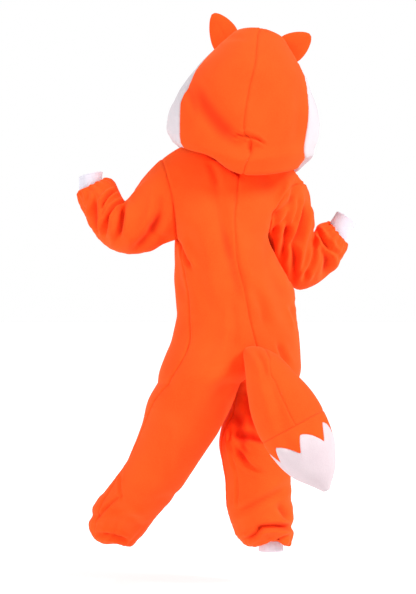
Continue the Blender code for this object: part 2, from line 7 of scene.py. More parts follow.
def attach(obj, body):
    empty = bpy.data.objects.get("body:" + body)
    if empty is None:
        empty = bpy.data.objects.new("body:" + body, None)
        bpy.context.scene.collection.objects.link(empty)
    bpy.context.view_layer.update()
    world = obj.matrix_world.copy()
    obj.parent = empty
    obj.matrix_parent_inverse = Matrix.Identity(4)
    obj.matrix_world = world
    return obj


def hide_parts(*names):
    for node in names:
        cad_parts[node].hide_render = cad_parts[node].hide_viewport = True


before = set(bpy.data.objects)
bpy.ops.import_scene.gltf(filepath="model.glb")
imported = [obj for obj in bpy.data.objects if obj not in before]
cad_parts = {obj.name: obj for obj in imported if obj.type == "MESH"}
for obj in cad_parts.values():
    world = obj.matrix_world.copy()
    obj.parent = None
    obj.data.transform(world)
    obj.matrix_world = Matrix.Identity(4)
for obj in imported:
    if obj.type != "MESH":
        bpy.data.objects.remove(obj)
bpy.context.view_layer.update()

# Sizes are in millimetres and turned into metres when a mesh is made. +Z is up, the wearer faces -Y,
# and +X is the wearer's left, so side 1 is left and -1 is right, and facing 1 is back and -1 is front.
toMetres = 0.001
sideName = {1: "left", -1: "right"}
faceName = {1: "back", -1: "front"}
toBack = np.array([0, 1.0, 0])

view = {"place": (58.8, 4000.0, -298.2), "lens": 115.44, "sensor": 36.0}
floorHeight = -907.0

cloth = {
    "fleece": 2.4,  # thickness
    "rib": 1.6,
    "paintedFoldShade": (2.5, 13.0),  # depths of a fold at which the painted fold shade starts and ends to deepen the colour
    "seamDip": 2.8,  # how far the cloth draws in at a seam, and how wide that trough is
    "seamWidth": 2.8,
    "pucker": 0.4,  # small waves beside the sewing, and how long and how far from the seam they are
    "puckerLengths": (19.0, 11.3),
    "puckerReach": 16.0,
    "sag": 0.9,  # height of the slow, uneven waves of loose cloth
}


def unitOf(vectors):
    return vectors / np.maximum(np.linalg.norm(vectors, axis=-1, keepdims=True), 1e-9)


def sines(degrees):
    return np.sin(np.radians(degrees)), np.cos(np.radians(degrees))


def smooth(x, low=0.0, high=1.0):
    t = np.clip((x - low) / (high - low), 0, 1)
    return t * t * (3 - 2 * t)


# Shares from 0 to 1 that lie closer together at both ends, for the cloth beside a seam.
def closeAtEnds(count):
    t = np.linspace(0, 1, count)
    return 0.25 * t + 0.75 * (1 - np.cos(np.pi * t)) / 2


# Each step between two values, split into equal smaller steps.
def finer(values, times):
    values = np.asarray(values, float)
    parts = [np.linspace(a, b, times, endpoint=False) for a, b in zip(values[:-1], values[1:])]
    return np.concatenate([*parts, values[-1:]])


# The columns of a table at these places, on a cubic curve that passes through each of its rows.
def alongTable(rows, places):
    rows, places = np.array(rows, float), np.asarray(places, float)
    start, values = rows[:, 0], rows[:, 1:]
    slope = np.gradient(values, start, axis=0)
    i = np.clip(np.searchsorted(start, places, side="right") - 1, 0, len(start) - 2)
    gap = (start[i + 1] - start[i])[:, None]
    t = (places - start[i])[:, None] / gap
    return (
        (2 * t**3 - 3 * t**2 + 1) * values[i]
        + (t**3 - 2 * t**2 + t) * gap * slope[i]
        + (3 * t**2 - 2 * t**3) * values[i + 1]
        + (t**3 - t**2) * gap * slope[i + 1]
    )


# Unit normals of a grid: the cross product of its steps along the rows and down the columns.
def gridNormals(grid, joined=False):
    if joined:
        wide = np.concatenate([grid[:, -1:], grid, grid[:, :1]], axis=1)
        around = (wide[:, 2:] - wide[:, :-2]) / 2
    else:
        around = np.gradient(grid, axis=1)
    return unitOf(np.cross(around, np.gradient(grid, axis=0)))


# Millimetres from each point of a grid to its nearest sewn edge, measured along the cloth.
def seamDistance(grid, edges):
    down = np.linalg.norm(np.diff(grid, axis=0), axis=-1)
    over = np.linalg.norm(np.diff(grid, axis=1), axis=-1)
    down = np.concatenate([np.zeros_like(down[:1]), np.cumsum(down, axis=0)])
    over = np.concatenate([np.zeros_like(over[:, :1]), np.cumsum(over, axis=1)], axis=1)
    runs = {"first": down, "last": down[-1:] - down, "start": over, "end": over[:, -1:] - over}
    return np.min([runs[edge] for edge in edges], axis=0)


# Where a point stands in the picture plane through the garment, as the camera sees it.
def seenFlat(points):
    x, y, z = points[..., 0], points[..., 1], points[..., 2]
    near = view["place"][1] / (view["place"][1] - y)
    return view["place"][0] + (x - view["place"][0]) * near, view["place"][2] + (z - view["place"][2]) * near


# Height of the creases. Along each line s runs from 0 to 1 and d is the distance from it, less a bow that
# is greatest half way. The cloth drops by depth * exp(-(d / width)^2), rises by a share of that at both
# sides, and both die out towards the ends. A negative depth makes a ridge.
def creaseHeight(points, outward, creases):
    total = np.zeros(points.shape[:-1])
    seen = {
        "back": (*seenFlat(points), outward[..., 1]),
        "front": (points[..., 0], points[..., 2], -outward[..., 1]),
        "left": (points[..., 1], points[..., 2], outward[..., 0]),
        "right": (points[..., 1], points[..., 2], -outward[..., 0]),
    }
    for side, rows in creases.items():
        x, z, facing = seen[side]
        weight = smooth(facing, -0.15, 0.45)
        for x0, z0, x1, z1, bow, width, depth, lip in rows:
            length = np.hypot(x1 - x0, z1 - z0)
            s = ((x - x0) * (x1 - x0) + (z - z0) * (z1 - z0)) / length**2
            d = ((x - x0) * (z1 - z0) - (z - z0) * (x1 - x0)) / length
            t = np.clip(s, 0, 1)
            d = d - bow * 4 * t * (1 - t)
            past = np.maximum(np.abs(s - 0.5) - 0.3, 0) * length
            fade = np.exp(-((past / (1.2 * width + 0.12 * length)) ** 2))
            middle = np.exp(-((d / width) ** 2))
            beside = np.exp(-(((np.abs(d) - 1.9 * width) / width) ** 2))
            total -= depth * fade * weight * (middle - lip * beside)
    return total


# Slow waves of loose cloth: sines along slanting directions, whose lengths don't divide each other.
def sagHeight(points):
    x, y, z = points[..., 0], points[..., 1], points[..., 2]
    waves = np.sin((x + 0.6 * z + 0.4 * y) / 31 + 0.8) + np.sin((z - 0.7 * x + 0.9 * y) / 43 + 2.1)
    small = np.sin((x - 1.3 * z + 0.3 * y) / 13 + 1.7) * np.sin((z + 0.5 * y + 0.2 * x) / 17 + 0.4)
    return cloth["sag"] * (0.7 * waves + 0.1 * small)


# Height at the seams: a trough of seamDip, and short waves that die out away from the sewing.
def seamHeight(points, distance):
    run = points[..., 2] + 0.7 * points[..., 0] + 0.5 * points[..., 1]
    long, short = (run * 2 * np.pi / length for length in cloth["puckerLengths"])
    waves = np.sin(long) + 0.6 * np.sin(short + 1)
    dip = np.exp(-((distance / cloth["seamWidth"]) ** 2))
    near = np.exp(-((distance / cloth["puckerReach"]) ** 2)) - dip
    return cloth["pucker"] * waves * near - cloth["seamDip"] * dip


# Creases of two tables, loose waves and seams, added up.
def looseHeight(points, outward, distance, creases, others):
    height = creaseHeight(points, outward, creases) + creaseHeight(points, outward, others)
    return height + sagHeight(points) + seamHeight(points, distance)


# A hex sRGB colour as linear red, green, blue and an alpha of 1.
def linearOf(hexColour):
    values = [int(hexColour[i : i + 2], 16) / 255 for i in (1, 3, 5)]
    return (*[v / 12.92 if v <= 0.04045 else ((v + 0.055) / 1.055) ** 2.4 for v in values], 1)


def addNode(tree, kind, settings, links):
    node = tree.nodes.new(kind)
    for key, value in settings.items():
        if isinstance(key, str) and hasattr(node, key):
            setattr(node, key, value)
        else:
            node.inputs[key].default_value = value
    for key, source in links.items():
        tree.links.new(source, node.inputs[key])
    return node


def newMaterial(name, colour, roughness, sheen, sheenColour):
    made = bpy.data.materials.new(name)
    made.use_nodes = True
    surface = made.node_tree.nodes["Principled BSDF"]
    values = {"Base Color": linearOf(colour), "Roughness": roughness, "Specular IOR Level": 0.25}
    values |= {"Sheen Weight": sheen, "Sheen Roughness": 0.5, "Sheen Tint": linearOf(sheenColour)}
    for key, value in values.items():
        surface.inputs[key].default_value = value
    made.diffuse_color = linearOf(colour)
    return made, made.node_tree, surface


fleece = {
    # size in metres, detail and roughness of each noise
    "noise": {"nap": (0.0019, 3.0, 0.65), "clump": (0.009, 4.0, 0.6), "patch": (0.07, 2.0, 0.5)},
    # the noise behind each colour, where it starts and ends, and its greatest share
    "colour": {"lit": ("nap", 0.3, 0.7, 1.0), "lay": ("patch", 0.35, 0.65, 0.35)},
    # strength and height in metres of the bumps
    "bump": {"clump": (0.35, 0.0012), "nap": (0.5, 0.0006)},
}


# Polyester fleece, knitted and brushed: a matt short nap that catches light at grazing angles, with
# clumps of fibre about 2 mm across, wide soft patches where the nap lies another way, and no weave to see.
# Where a seam or the bottom of a fold lies deeper, the colour is darkened there as painted shade.
def fleeceMaterial(name, colours, sheen, sheenColour):
    made, tree, surface = newMaterial(name, colours["lit"], 0.95, sheen, sheenColour)
    place = addNode(tree, "ShaderNodeTexCoord", {}, {}).outputs["Object"]
    noise, share, base, normal = {}, {}, {}, {}
    for key, (size, detail, rough) in fleece["noise"].items():
        look = {"Scale": 1 / size, "Detail": detail, "Roughness": rough}
        noise[key] = addNode(tree, "ShaderNodeTexNoise", look, {"Vector": place}).outputs["Fac"]
    for key, (source, low, high, most) in fleece["colour"].items():
        ends = {"From Min": low, "From Max": high, "To Max": most}
        share[key] = addNode(tree, "ShaderNodeMapRange", ends, {"Value": noise[source]}).outputs["Result"]
    # Painted shade: a share that grows with the depth of a fold or seam, towards the darkest colour.
    share["paintedFoldShade"] = addNode(tree, "ShaderNodeAttribute", {"attribute_name": "paintedFoldShade"}, {}).outputs["Fac"]
    for key, amount in share.items():
        ends = {"data_type": "RGBA", 6: linearOf(colours["deep"]), 7: linearOf(colours[key])}
        base = {6: addNode(tree, "ShaderNodeMix", ends, {0: amount, **base}).outputs[2]}
    for key, (strength, distance) in fleece["bump"].items():
        look = {"Strength": strength, "Distance": distance}
        bump = addNode(tree, "ShaderNodeBump", look, {"Height": noise[key], **normal})
        normal = {"Normal": bump.outputs["Normal"]}
    tree.links.new(base[6], surface.inputs["Base Color"])
    tree.links.new(normal["Normal"], surface.inputs["Normal"])
    return made


# Rib knit of soft spun yarn: loops in columns, each about 1.5 mm wide and 1.2 mm tall, over raised ribs.
def knitMaterial(name, colours):
    made, tree, surface = newMaterial(name, colours["lit"], 0.9, 0.35, "#FFFFFF")
    place = addNode(tree, "ShaderNodeUVMap", {}, {}).outputs["UV"]
    # A wave texture repeats about 3.18 times in a unit.
    look = {"bands_direction": "Y", "Scale": 1 / 0.0024 / 3.18, "Distortion": 1.2, "Detail": 1.0}
    loops = addNode(tree, "ShaderNodeTexWave", look, {"Vector": place})
    ends = {"data_type": "RGBA", 6: linearOf(colours["deep"]), 7: linearOf(colours["lit"])}
    base = addNode(tree, "ShaderNodeMix", ends, {0: loops.outputs["Fac"]}).outputs[2]
    tree.links.new(base, surface.inputs["Base Color"])
    look = {"Strength": 0.5, "Distance": 0.0005}
    bump = addNode(tree, "ShaderNodeBump", look, {"Height": loops.outputs["Fac"]})
    tree.links.new(bump.outputs["Normal"], surface.inputs["Normal"])
    return made


# The last colour of each fleece is the painted shade for the bottoms of folds and seams.
orangeFleece = fleeceMaterial(
    "brushedPolyesterFleeceOrange",
    {"lit": "#FF5514", "deep": "#FF4A0C", "lay": "#FF5C1A", "paintedFoldShade": "#E42A00"},
    0.3,
    "#FF9858",
)
whiteFleece = fleeceMaterial(
    "brushedPolyesterFleeceWhite",
    {"lit": "#D8D0D5", "deep": "#CFC6CC", "lay": "#DDD6DA", "paintedFoldShade": "#CAB3B9"},
    0.15,
    "#FFFFFF",
)
# The white of the tail lies between orange cloth and the floor, and is tinted a little rosy as painted
# reflected light from the orange cloth.
paintedBounceTipFleece = fleeceMaterial(
    "brushedPolyesterFleeceTipPaintedBounce",
    {"lit": "#D6C6CB", "deep": "#CDBCC2", "lay": "#DBCED2", "paintedFoldShade": "#C4A8AF"},
    0.15,
    "#FFF4F4",
)
whiteRib = knitMaterial("ribKnitCottonWhite", {"lit": "#E5E3ED", "deep": "#D8D3DE"})
# material, slot and thickness
orangeCloth = (orangeFleece, "orange_fleece", cloth["fleece"])
whiteCloth = (whiteFleece, "white_fleece", cloth["fleece"])
paintedBounceTipCloth = (paintedBounceTipFleece, "white_fleece", cloth["fleece"])
ribCloth = (whiteRib, "white_rib_knit", cloth["rib"])
print("materials made")


# The four corners of each quad between the neighbours of a grid.
def quadCorners(values):
    corners = [values[:-1, :-1], values[1:, :-1], values[1:, 1:], values[:-1, 1:]]
    return np.stack(corners, 2).reshape(-1, 4, *values.shape[2:])


# A mesh of quads between the neighbours of a grid. With joined, the last column meets the first. UVs are
# metres along the cloth.
def clothPiece(name, grid, outward, look, joined=False, height=None):
    material, slotName, thickness = look
    number = np.arange(grid[..., 0].size).reshape(grid.shape[:2])
    if joined:
        number = np.concatenate([number, number[:, :1]], axis=1)
    quads = quadCorners(number)
    points = grid.reshape(-1, 3) * toMetres
    a, b, c = points[quads[:, 0]], points[quads[:, 1]], points[quads[:, 2]]
    if np.einsum("ij,ij->", np.cross(b - a, c - a), outward.reshape(-1, 3)[quads[:, 0]]) < 0:
        quads = quads[:, ::-1]
    mesh = bpy.data.meshes.new(name)
    mesh.vertices.add(len(points))
    mesh.vertices.foreach_set("co", points.ravel())
    mesh.loops.add(quads.size)
    mesh.loops.foreach_set("vertex_index", quads.ravel().astype(np.int32))
    mesh.polygons.add(len(quads))
    mesh.polygons.foreach_set("loop_start", np.arange(0, quads.size, 4, dtype=np.int32))
    mesh.update(calc_edges=True)
    mesh.validate()
    closed = np.concatenate([grid, grid[:, :1]], axis=1) if joined else grid
    steps = [np.linalg.norm(np.diff(closed, axis=way), axis=-1).mean(axis=1 - way) for way in (1, 0)]
    u, v = (np.concatenate([[0], np.cumsum(step)]) * toMetres for step in steps)
    uv = quadCorners(np.stack(np.meshgrid(u, v), -1))
    if quads[0, 0] != number[0, 0]:
        uv = uv[:, ::-1]
    mesh.uv_layers.new(name="UVMap").data.foreach_set("uv", uv.reshape(-1).astype(np.float32))
    # Painted shade: the depth of each fold or seam is stored so that the material darkens the colour there.
    if height is not None:
        paintedFoldShade = mesh.attributes.new("paintedFoldShade", "FLOAT", "POINT")
        paintedFoldShade.data.foreach_set("value", smooth(-height, *cloth["paintedFoldShade"]).ravel().astype(np.float32))
    mesh.materials.append(material)
    mesh.shade_smooth()
    piece = bpy.data.objects.new(name, mesh)
    bpy.context.scene.collection.objects.link(piece)
    wall = piece.modifiers.new("wall", "SOLIDIFY")
    wall.thickness, wall.offset = thickness * toMetres, -1.0
    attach(piece, "root")
    return piece


# All creases: start x, z, end x, z, bow, width, depth, lip, as seen from each side.
hoodCreases = {
    "back": (
        # the trough that runs down to the seam, the pinch there, and the roll below them
        (86, 142, 6, 38, -8, 25, 9.0, 0.1), (3, 40, -60, 24, 8, 3.5, 6.0, 0.9),
        (-30, 32, -30, 8, 0, 7, 3.5, 0.1), (96, 14, -20, -10, 0, 13, -4.0, 0.1),
        (-20, -10, -130, 4, 0, 13, -3.5, 0.1), (108, 150, 92, 90, 2, 7, 2.5, 0.1),
        (-133, 140, -128, 24, 2, 12, 3.0, 0.2), (30, 242, -18, 246, 2, 6, 1.6, 0.4),
    ),
    "front": (
        (-60, 20, -10, -6, 4, 10, 3.0, 0.3), (62, 24, 16, -4, -4, 10, 3.0, 0.3),
    ),
    "left": (
        (-40, 20, 60, -4, 6, 11, 3.5, 0.3), (-70, 60, 20, 30, 6, 12, 2.6, 0.4),
        (-60, 150, 10, 110, -6, 14, 2.4, 0.4),
    ),
    "right": (
        (-40, 30, 30, 8, 6, 13, 2.0, 0.2), (-50, 150, 30, 118, -5, 16, 1.6, 0.2),
    ),
}

hood = {
    "origin": (-4.0, 0.0, -21.0),
    "ahead": 5.0,  # how far its middle stands before the origin
    "roll": 10.0,  # degrees that the head leans to the wearer's right
    # height at the side, back and front, width, depth back, front, shift of the neckline, which lies just
    # under the first ring; the rings have their place before these, then cheek seam angle and face edge angle
    "neck": (20, -2, -42, 62.5, 58.5, 58.5, 0),
    "rings": (
        (0.0, 21.5, -0.5, -38.5, 61, 57, 57, 0, 31, -80),
        (1.0, 25, -19, -28, 102, 96, 73, -2, 31, -72),
        (2.0, 21, -25, -18, 141, 124, 90, -4, 31, -62),
        (3.0, 36, -3, 0, 155, 136, 103, 0, 31, -54),
        (4.0, 60, 37, 28, 158, 141, 116, 3, 33, -46),
        (5.0, 92, 84, 70, 158, 144, 124, 2, 34, -40),
        (6.0, 125, 124, 110, 151, 142, 128, 0, 33, -38),
        (7.0, 162, 164, 148, 135, 134, 128, 0, 28, -42),
        (8.0, 198, 203, 180, 114, 120, 122, 0, 19, -52),
        (9.0, 231, 239, 207, 89, 98, 110, 1, 4, -64),
        (10.0, 261, 267, 231, 65, 74, 100, 2, -28, -74),
        (11.0, 281, 284, 248, 43, 56, 92, 1, -56, -80),
        (12.0, 285, 286, 255, 0, 46, 86, 0, -72, -86),
    ),
    # place, degrees added to the cheek seam angle on the left and on the right
    "seamTurn": (
        (0, 4, 0), (1, 4, -14), (2.4, 4, -11), (3.5, 3, -2), (4.5, -1, 0),
        (5.5, -7.5, 0), (7, -9, 0), (8.5, -3, 0), (10, 0, 0), (12, 0, 0),
    ),
    # place, millimetres by which the seam over the head stands to the wearer's right
    "seamPath": (
        (0, 9), (2, 10), (2.95, 15), (3.5, 23), (4.05, 24), (4.2, 19), (4.4, 6),
        (4.6, 1), (5, -2), (5.6, -5), (6.5, -6), (8, -2), (10, -5), (12, 0),
    ),
    # sideways place and reach in millimetres of the raised part of the low edge, how far up and how far in
    "lowLift": {1: (60, 38, 19, 0), -1: (-162, 22, 24, 20)},
    "lowRows": (1.8, 1.1),  # place and reach of that part up the hood
    "fade": (0.8, 0.5),  # places over which the folds grow from the neck and die out at the crown
    "columns": (49, 33),  # of a back and of a cheek
    "rows": [0, 0.6, 1.3, 2, 2.6, 3.3, 4, 4.8, 5.6, 6.5, 7.3, 8, 8.7, 9.4, 10, 10.6, 11.2, 11.7, 12],
}


def hoodFrame():
    sine, cosine = sines(hood["roll"])
    return np.array(hood["origin"]), np.array([cosine, 0, sine]), np.array([-sine, 0, cosine])


# Rings round the head: x = width * cos, y = depth * sin, and a height that blends from side to back or front
# by sin squared, all in the leaning frame of the head.
def headPoints(ring, angles, side):
    low, back, front, width, deepBack, deepFront, shift = ring
    sine, cosine = sines(angles)
    height = low + np.where(sine > 0, back - low, front - low) * sine**2
    x = shift + side * width * cosine
    y = np.where(sine > 0, deepBack, deepFront) * sine - hood["ahead"]
    origin, toLeft, up = hoodFrame()
    return origin + x[..., None] * toLeft + y[..., None] * toBack + height[..., None] * up


bodyCreases = {
    "back": (
        # the gap under the hood, the long soft drape down the left back, and the ridge beside it
        (52, 4, -12, -42, 3, 8, 11.0, 0.1), (52, -20, 41, -58, 2, 8, 5.0, 0.2),
        (41, -54, 14, -194, -3, 17, 6.0, 0.1), (14, -190, -8, -300, 2, 18, 5.0, 0.1),
        (6, -310, 4, -404, 1, 10, 4.5, 0.3), (18, -90, -26, -240, -4, 15, -5.0, 0.1),
        (-20, -236, -40, -340, 2, 13, -5.0, 0.1), (-52, -270, -84, -350, 2, 12, -4.0, 0.1),
        (-34, -280, -62, -352, 2, 9, 4.0, 0.1), (-28, -60, -44, -150, 4, 24, -3.0, 0.1),
        (90, -236, 56, -328, 2, 12, 2.6, 0.3), (70, -180, 48, -270, 3, 16, -2.4, 0.1),
        # under the left arm
        (122, -182, 96, -236, -2, 4, 8.0, 0.1), (132, -196, 112, -300, -4, 13, 6.0, 0.0),
        (108, -176, 84, -238, -2, 6, -3.0, 0.1), (112, -150, 74, -232, 6, 14, 2.2, 0.2),
        # right back and hip
        (-46, -120, -66, -196, -4, 16, 3.4, 0.2), (-66, -196, -108, -300, -8, 16, 4.0, 0.2),
        (-117, -321, -129, -362, 1, 5, 5.0, 0.7), (-92, -398, -108, -440, -2, 6, 7.0, 0.3),
        (-62, -352, -92, -392, -3, 14, 2.4, 0.2),
        # seat and thigh, towards the tail
        (30, -330, 62, -420, 8, 18, 2.6, 0.2), (-4, -392, 46, -452, 8, 15, 3.4, 0.3),
        (-6, -430, 40, -500, 9, 15, 3.0, 0.3), (20, -480, 82, -560, 10, 18, 2.4, 0.2),
        (90, -470, 150, -600, 12, 20, 2.2, 0.2), (104, -640, 170, -740, 8, 16, 2.0, 0.2),
        # left hem
        (296, -796, 226, -812, 4, 4.5, 8.0, 0.5), (288, -766, 190, -752, 6, 9, -4.0, 0.1),
        (262, -744, 206, -770, 5, 9, 2.6, 0.3), (241, -673, 239, -722, -3, 2.5, 5.0, 0.3),
        (239, -714, 294, -768, -5, 3, 6.0, 0.3), (140, -560, 140, -672, 3, 12, 2.6, 0.1),
        # right leg: the shade between the legs, the line down from the crotch, then folds to the ankle
        (4, -540, -16, -640, 0, 15, 13.0, 0.0), (-18, -500, -38, -590, 0, 15, 11.0, 0.0),
        (8, -584, -62, -604, 2, 9, 9.0, 0.3), (17, -572, -2, -672, -4, 2.5, 4.5, 0.4),
        (-2, -672, -3, -738, 0, 2.5, 4.5, 0.4), (7, -614, -53, -668, -5, 5, 6.0, 0.7),
        (2, -750, -108, -696, -4, 8, 6.0, 0.5), (-92, -740, -108, -762, 0, 7, 8.0, 0.3),
        (-20, -808, -52, -782, -4, 5, 9.0, 0.5), (-50, -783, -112, -782, 3, 5.5, 11.0, 0.6),
        (-86, -813, -108, -801, 0, 5, 8.0, 0.3), (-92, -560, -60, -640, -6, 18, 2.6, 0.2),
    ),
    "front": (
        (60, -60, 30, -190, 6, 12, 3.6, 0.4), (-100, -110, -30, -220, 8, 12, 3.6, 0.4),
        (110, -150, 52, -232, 8, 11, 4.0, 0.4), (-104, -150, -60, -236, -6, 11, 4.0, 0.4),
        (90, -300, 20, -372, 8, 14, 3.2, 0.4), (-80, -320, -16, -392, -8, 14, 3.2, 0.4),
        (60, -430, 8, -486, 6, 12, 4.4, 0.5), (-52, -436, 2, -490, -6, 12, 4.4, 0.5),
        (120, -450, 60, -520, 8, 14, 3.0, 0.4), (100, -600, 170, -640, -6, 13, 3.0, 0.4),
        (156, -660, 224, -690, -6, 12, 2.8, 0.4), (196, -742, 262, -764, -5, 9, 3.6, 0.5),
        (222, -790, 286, -800, -4, 7, 3.8, 0.5), (-100, -590, -30, -560, 5, 14, 3.0, 0.4),
        (-96, -690, -20, -668, 5, 12, 3.4, 0.4), (-10, -752, -86, -732, -5, 10, 3.6, 0.5),
        (-110, -790, -36, -800, -4, 7, 3.8, 0.5),
    ),
    "left": (
        (40, -190, -20, -262, 6, 12, 1.2, 0.2), (-50, -200, -6, -290, 6, 13, 2.4, 0.3),
        (20, -330, -40, -402, 8, 14, 1.6, 0.3), (-70, -430, 0, -500, 8, 14, 2.2, 0.3),
        (10, -500, -60, -560, 8, 14, 2.0, 0.3), (-30, -640, -90, -700, 6, 13, 1.8, 0.3),
        (-60, -764, -140, -780, 4, 8, 3.4, 0.5),
    ),
    "right": (
        (-60, -200, 10, -262, 6, 12, 2.0, 0.3), (20, -300, -50, -352, 6, 12, 1.8, 0.3),
        (-80, -440, 0, -470, 8, 13, 2.2, 0.3), (20, -560, -60, -600, 8, 13, 2.0, 0.3),
        (-80, -700, 0, -724, 6, 11, 2.2, 0.3), (30, -780, -60, -790, 4, 8, 3.6, 0.5),
    ),
}

body = {
    # 0 shoulder seam, 1 underarm, 2 crotch, 3 ankle
    "rows": [0.0, 0.12, 0.24, 0.35, 0.5, 0.65, 0.8, 0.91, 1.0]
    + [1.08, 1.18, 1.29, 1.4, 1.5, 1.6, 1.7, 1.78, 1.85, 1.91, 1.96, 2.0]
    + [2.06, 2.14, 2.23, 2.33, 2.43, 2.54, 2.65, 2.75, 2.84, 2.9, 2.94, 2.97, 2.99, 3.0],
    "finer": 8,
    "columns": 65,
    "neckPlace": 0.35,
    "easeRows": 12,  # how far from the underarm the rows are eased, and how many times
    "easeTurns": 60,
    # place, centre x, y, z, width left, right, depth back, front, turn, split, seam angle left, right
    "torso": (
        (1.00, 30, 0, -178, 98, 98, 95, 92, 17, 0, 0, 0),
        (1.16, 19, 0, -226, 111, 111, 100, 96, 13, 0, 20, 2),
        (1.32, 5, 0, -273, 125, 125, 105, 100, 11, 0, 28, 4),
        (1.56, 0, 0, -346, 129, 129, 105, 102, 15, 0, 28, 6),
        (1.70, 2, 0, -388, 138, 138, 112, 104, 21, 0, 28, 8),
        (1.84, 7, 0, -430, 152, 146, 117, 104, 27, 0.25, 22, 8),
        (1.94, 4, 0, -460, 164, 137, 112, 100, 27, 0.72, 16, 8),
        (2.00, 2, 0, -477, 168, 130, 100, 94, 27, 1, 12, 8),
    ),
    # place, centre x, y, z, width, depth back, front, turn, tilt, seam angle
    "legs": {
        1: (
            (2.00, 77, 38, -477, 84, 100, 94, 27, 0, 12),
            (2.20, 99, 26, -524, 84, 92, 88, 25, 10, 8),
            (2.45, 132, 0, -598, 72, 80, 80, 20, 22, 0),
            (2.70, 180, -42, -684, 63, 68, 68, 14, 27, 0),
            (2.86, 227, -80, -745, 61, 64, 64, 10, 30, 20),
            (2.95, 259, -108, -787, 60, 60, 60, 8, 32, 32),
            (2.98, 270, -116, -811, 49, 50, 50, 8, 30, 32),
            (3.00, 270, -117, -815, 29.5, 31, 31, 8, 28, 32),
        ),
        -1: (
            (2.00, -56, -30, -477, 65, 100, 94, 27, 0, 8),
            (2.20, -58, -42, -525, 71, 90, 88, 26, 0, 8),
            (2.42, -47, -30, -600, 82, 84, 84, 20, -2, 8),
            (2.65, -46, -24, -679, 69, 74, 74, 14, -2, 8),
            (2.82, -51, -22, -749, 69, 70, 70, 10, 0, 8),
            (2.90, -57, -22, -784, 64, 66, 66, 6, 2, 8),
            (2.96, -63, -22, -811, 55, 58, 58, 2, 2, 8),
            (2.99, -70, -22, -823, 41, 43, 43, 0, 2, 8),
            (3.00, -74, -22, -822, 27.5, 29.5, 29.5, 0, 2, 8),
        ),
    },
    # place, x, y, z down the centre seams between the neckline and the underarm row
    "centre": {
        1: ((0.5, -5, 72, -48), (0.65, -2, 80, -84), (0.8, 4, 86, -122), (0.91, 5, 90, -153)),
        -1: ((0.5, 8, -76, -80), (0.65, 22, -84, -106), (0.8, 38, -88, -134), (0.91, 50, -90, -158)),
    },
    # place, back x, y, z, front x, y, z round each armhole from the shoulder tip towards the underarm
    "armholes": {
        1: (
            (0.00, 157, 12, -8, 157, 12, -8),
            (0.20, 148, 48, -32, 147, -22, -34),
            (0.45, 136, 66, -75, 134, -38, -77),
            (0.70, 129, 66, -120, 127, -34, -122),
            (0.88, 126, 50, -157, 125, -6, -158),
        ),
        -1: (
            (0.00, -146, -30, -58, -146, -30, -58),
            (0.20, -124, 10, -62, -141, -62, -70),
            (0.45, -94, 34, -94, -126, -88, -100),
            (0.70, -74, 30, -138, -100, -86, -140),
            (0.88, -66, 6, -166, -78, -62, -168),
        ),
    },
    # place, handle along the body at the centre, at the armhole, handle in depth at the armhole, rise
    "shoulders": (
        (0.00, 0.30, 0.30, 0, 27),
        (0.35, 0.42, 0.36, 6, 14),
        (0.65, 0.48, 0.22, 26, 2),
        (0.85, 0.50, 0.07, 44, 0),
        (1.00, 0.50, 0.00, 52, 0),
    ),
    "shoulderRise": {1: 1, -1: 1.15},  # share of the rise on the left and right
    "shoulderTurn": ((0, 4), (1, 17)),  # place, degrees
    "fullSpan": 110,  # a handle in depth is shorter where the panel is narrower than this
    "gather": {"waves": 19, "height": 1.3, "reach": 0.08},  # folds that run up from the ankle elastic
    # sideways place and reach of the part of the hem that hangs lower, and by how much: the right leg's is
    # higher instead, at the back alone
    "hemDrop": {1: (292, 34, 24), -1: (-79, 25, -15)},
    # half width, height over the panels, swelling and columns
    "placket": {"reach": 13.0, "raise": 2.9, "swell": 0.9, "columns": 15},
    # width, length and area of the flat piece in metres, for a back and for a front
    "cut": {1: (0.30, 1.06, 0.175), -1: (0.31, 1.06, 0.19)},
}


# The direction to the wearer's left, turned about Z and tilted up, and the one to the back.
def leftward(turn, tilt):
    (s, c), (st, ct) = sines(turn), sines(tilt)
    return np.stack([c * ct, s * ct, st], -1)


def backward(turn):
    sine, cosine = sines(turn)
    return np.stack([-sine, cosine, np.zeros_like(sine)], -1)


# Rings: centre + width * cos * left + depth * sin * back.
def ringPoints(centre, wide, deepBack, deepFront, toLeft, back, angles):
    sine, cosine = sines(angles)
    deep = np.where(sine > 0, deepBack[:, None], deepFront[:, None])
    return (
        centre[:, None]
        + (wide[:, None] * cosine)[..., None] * toLeft[:, None]
        + (deep * sine)[..., None] * back[:, None]
    )


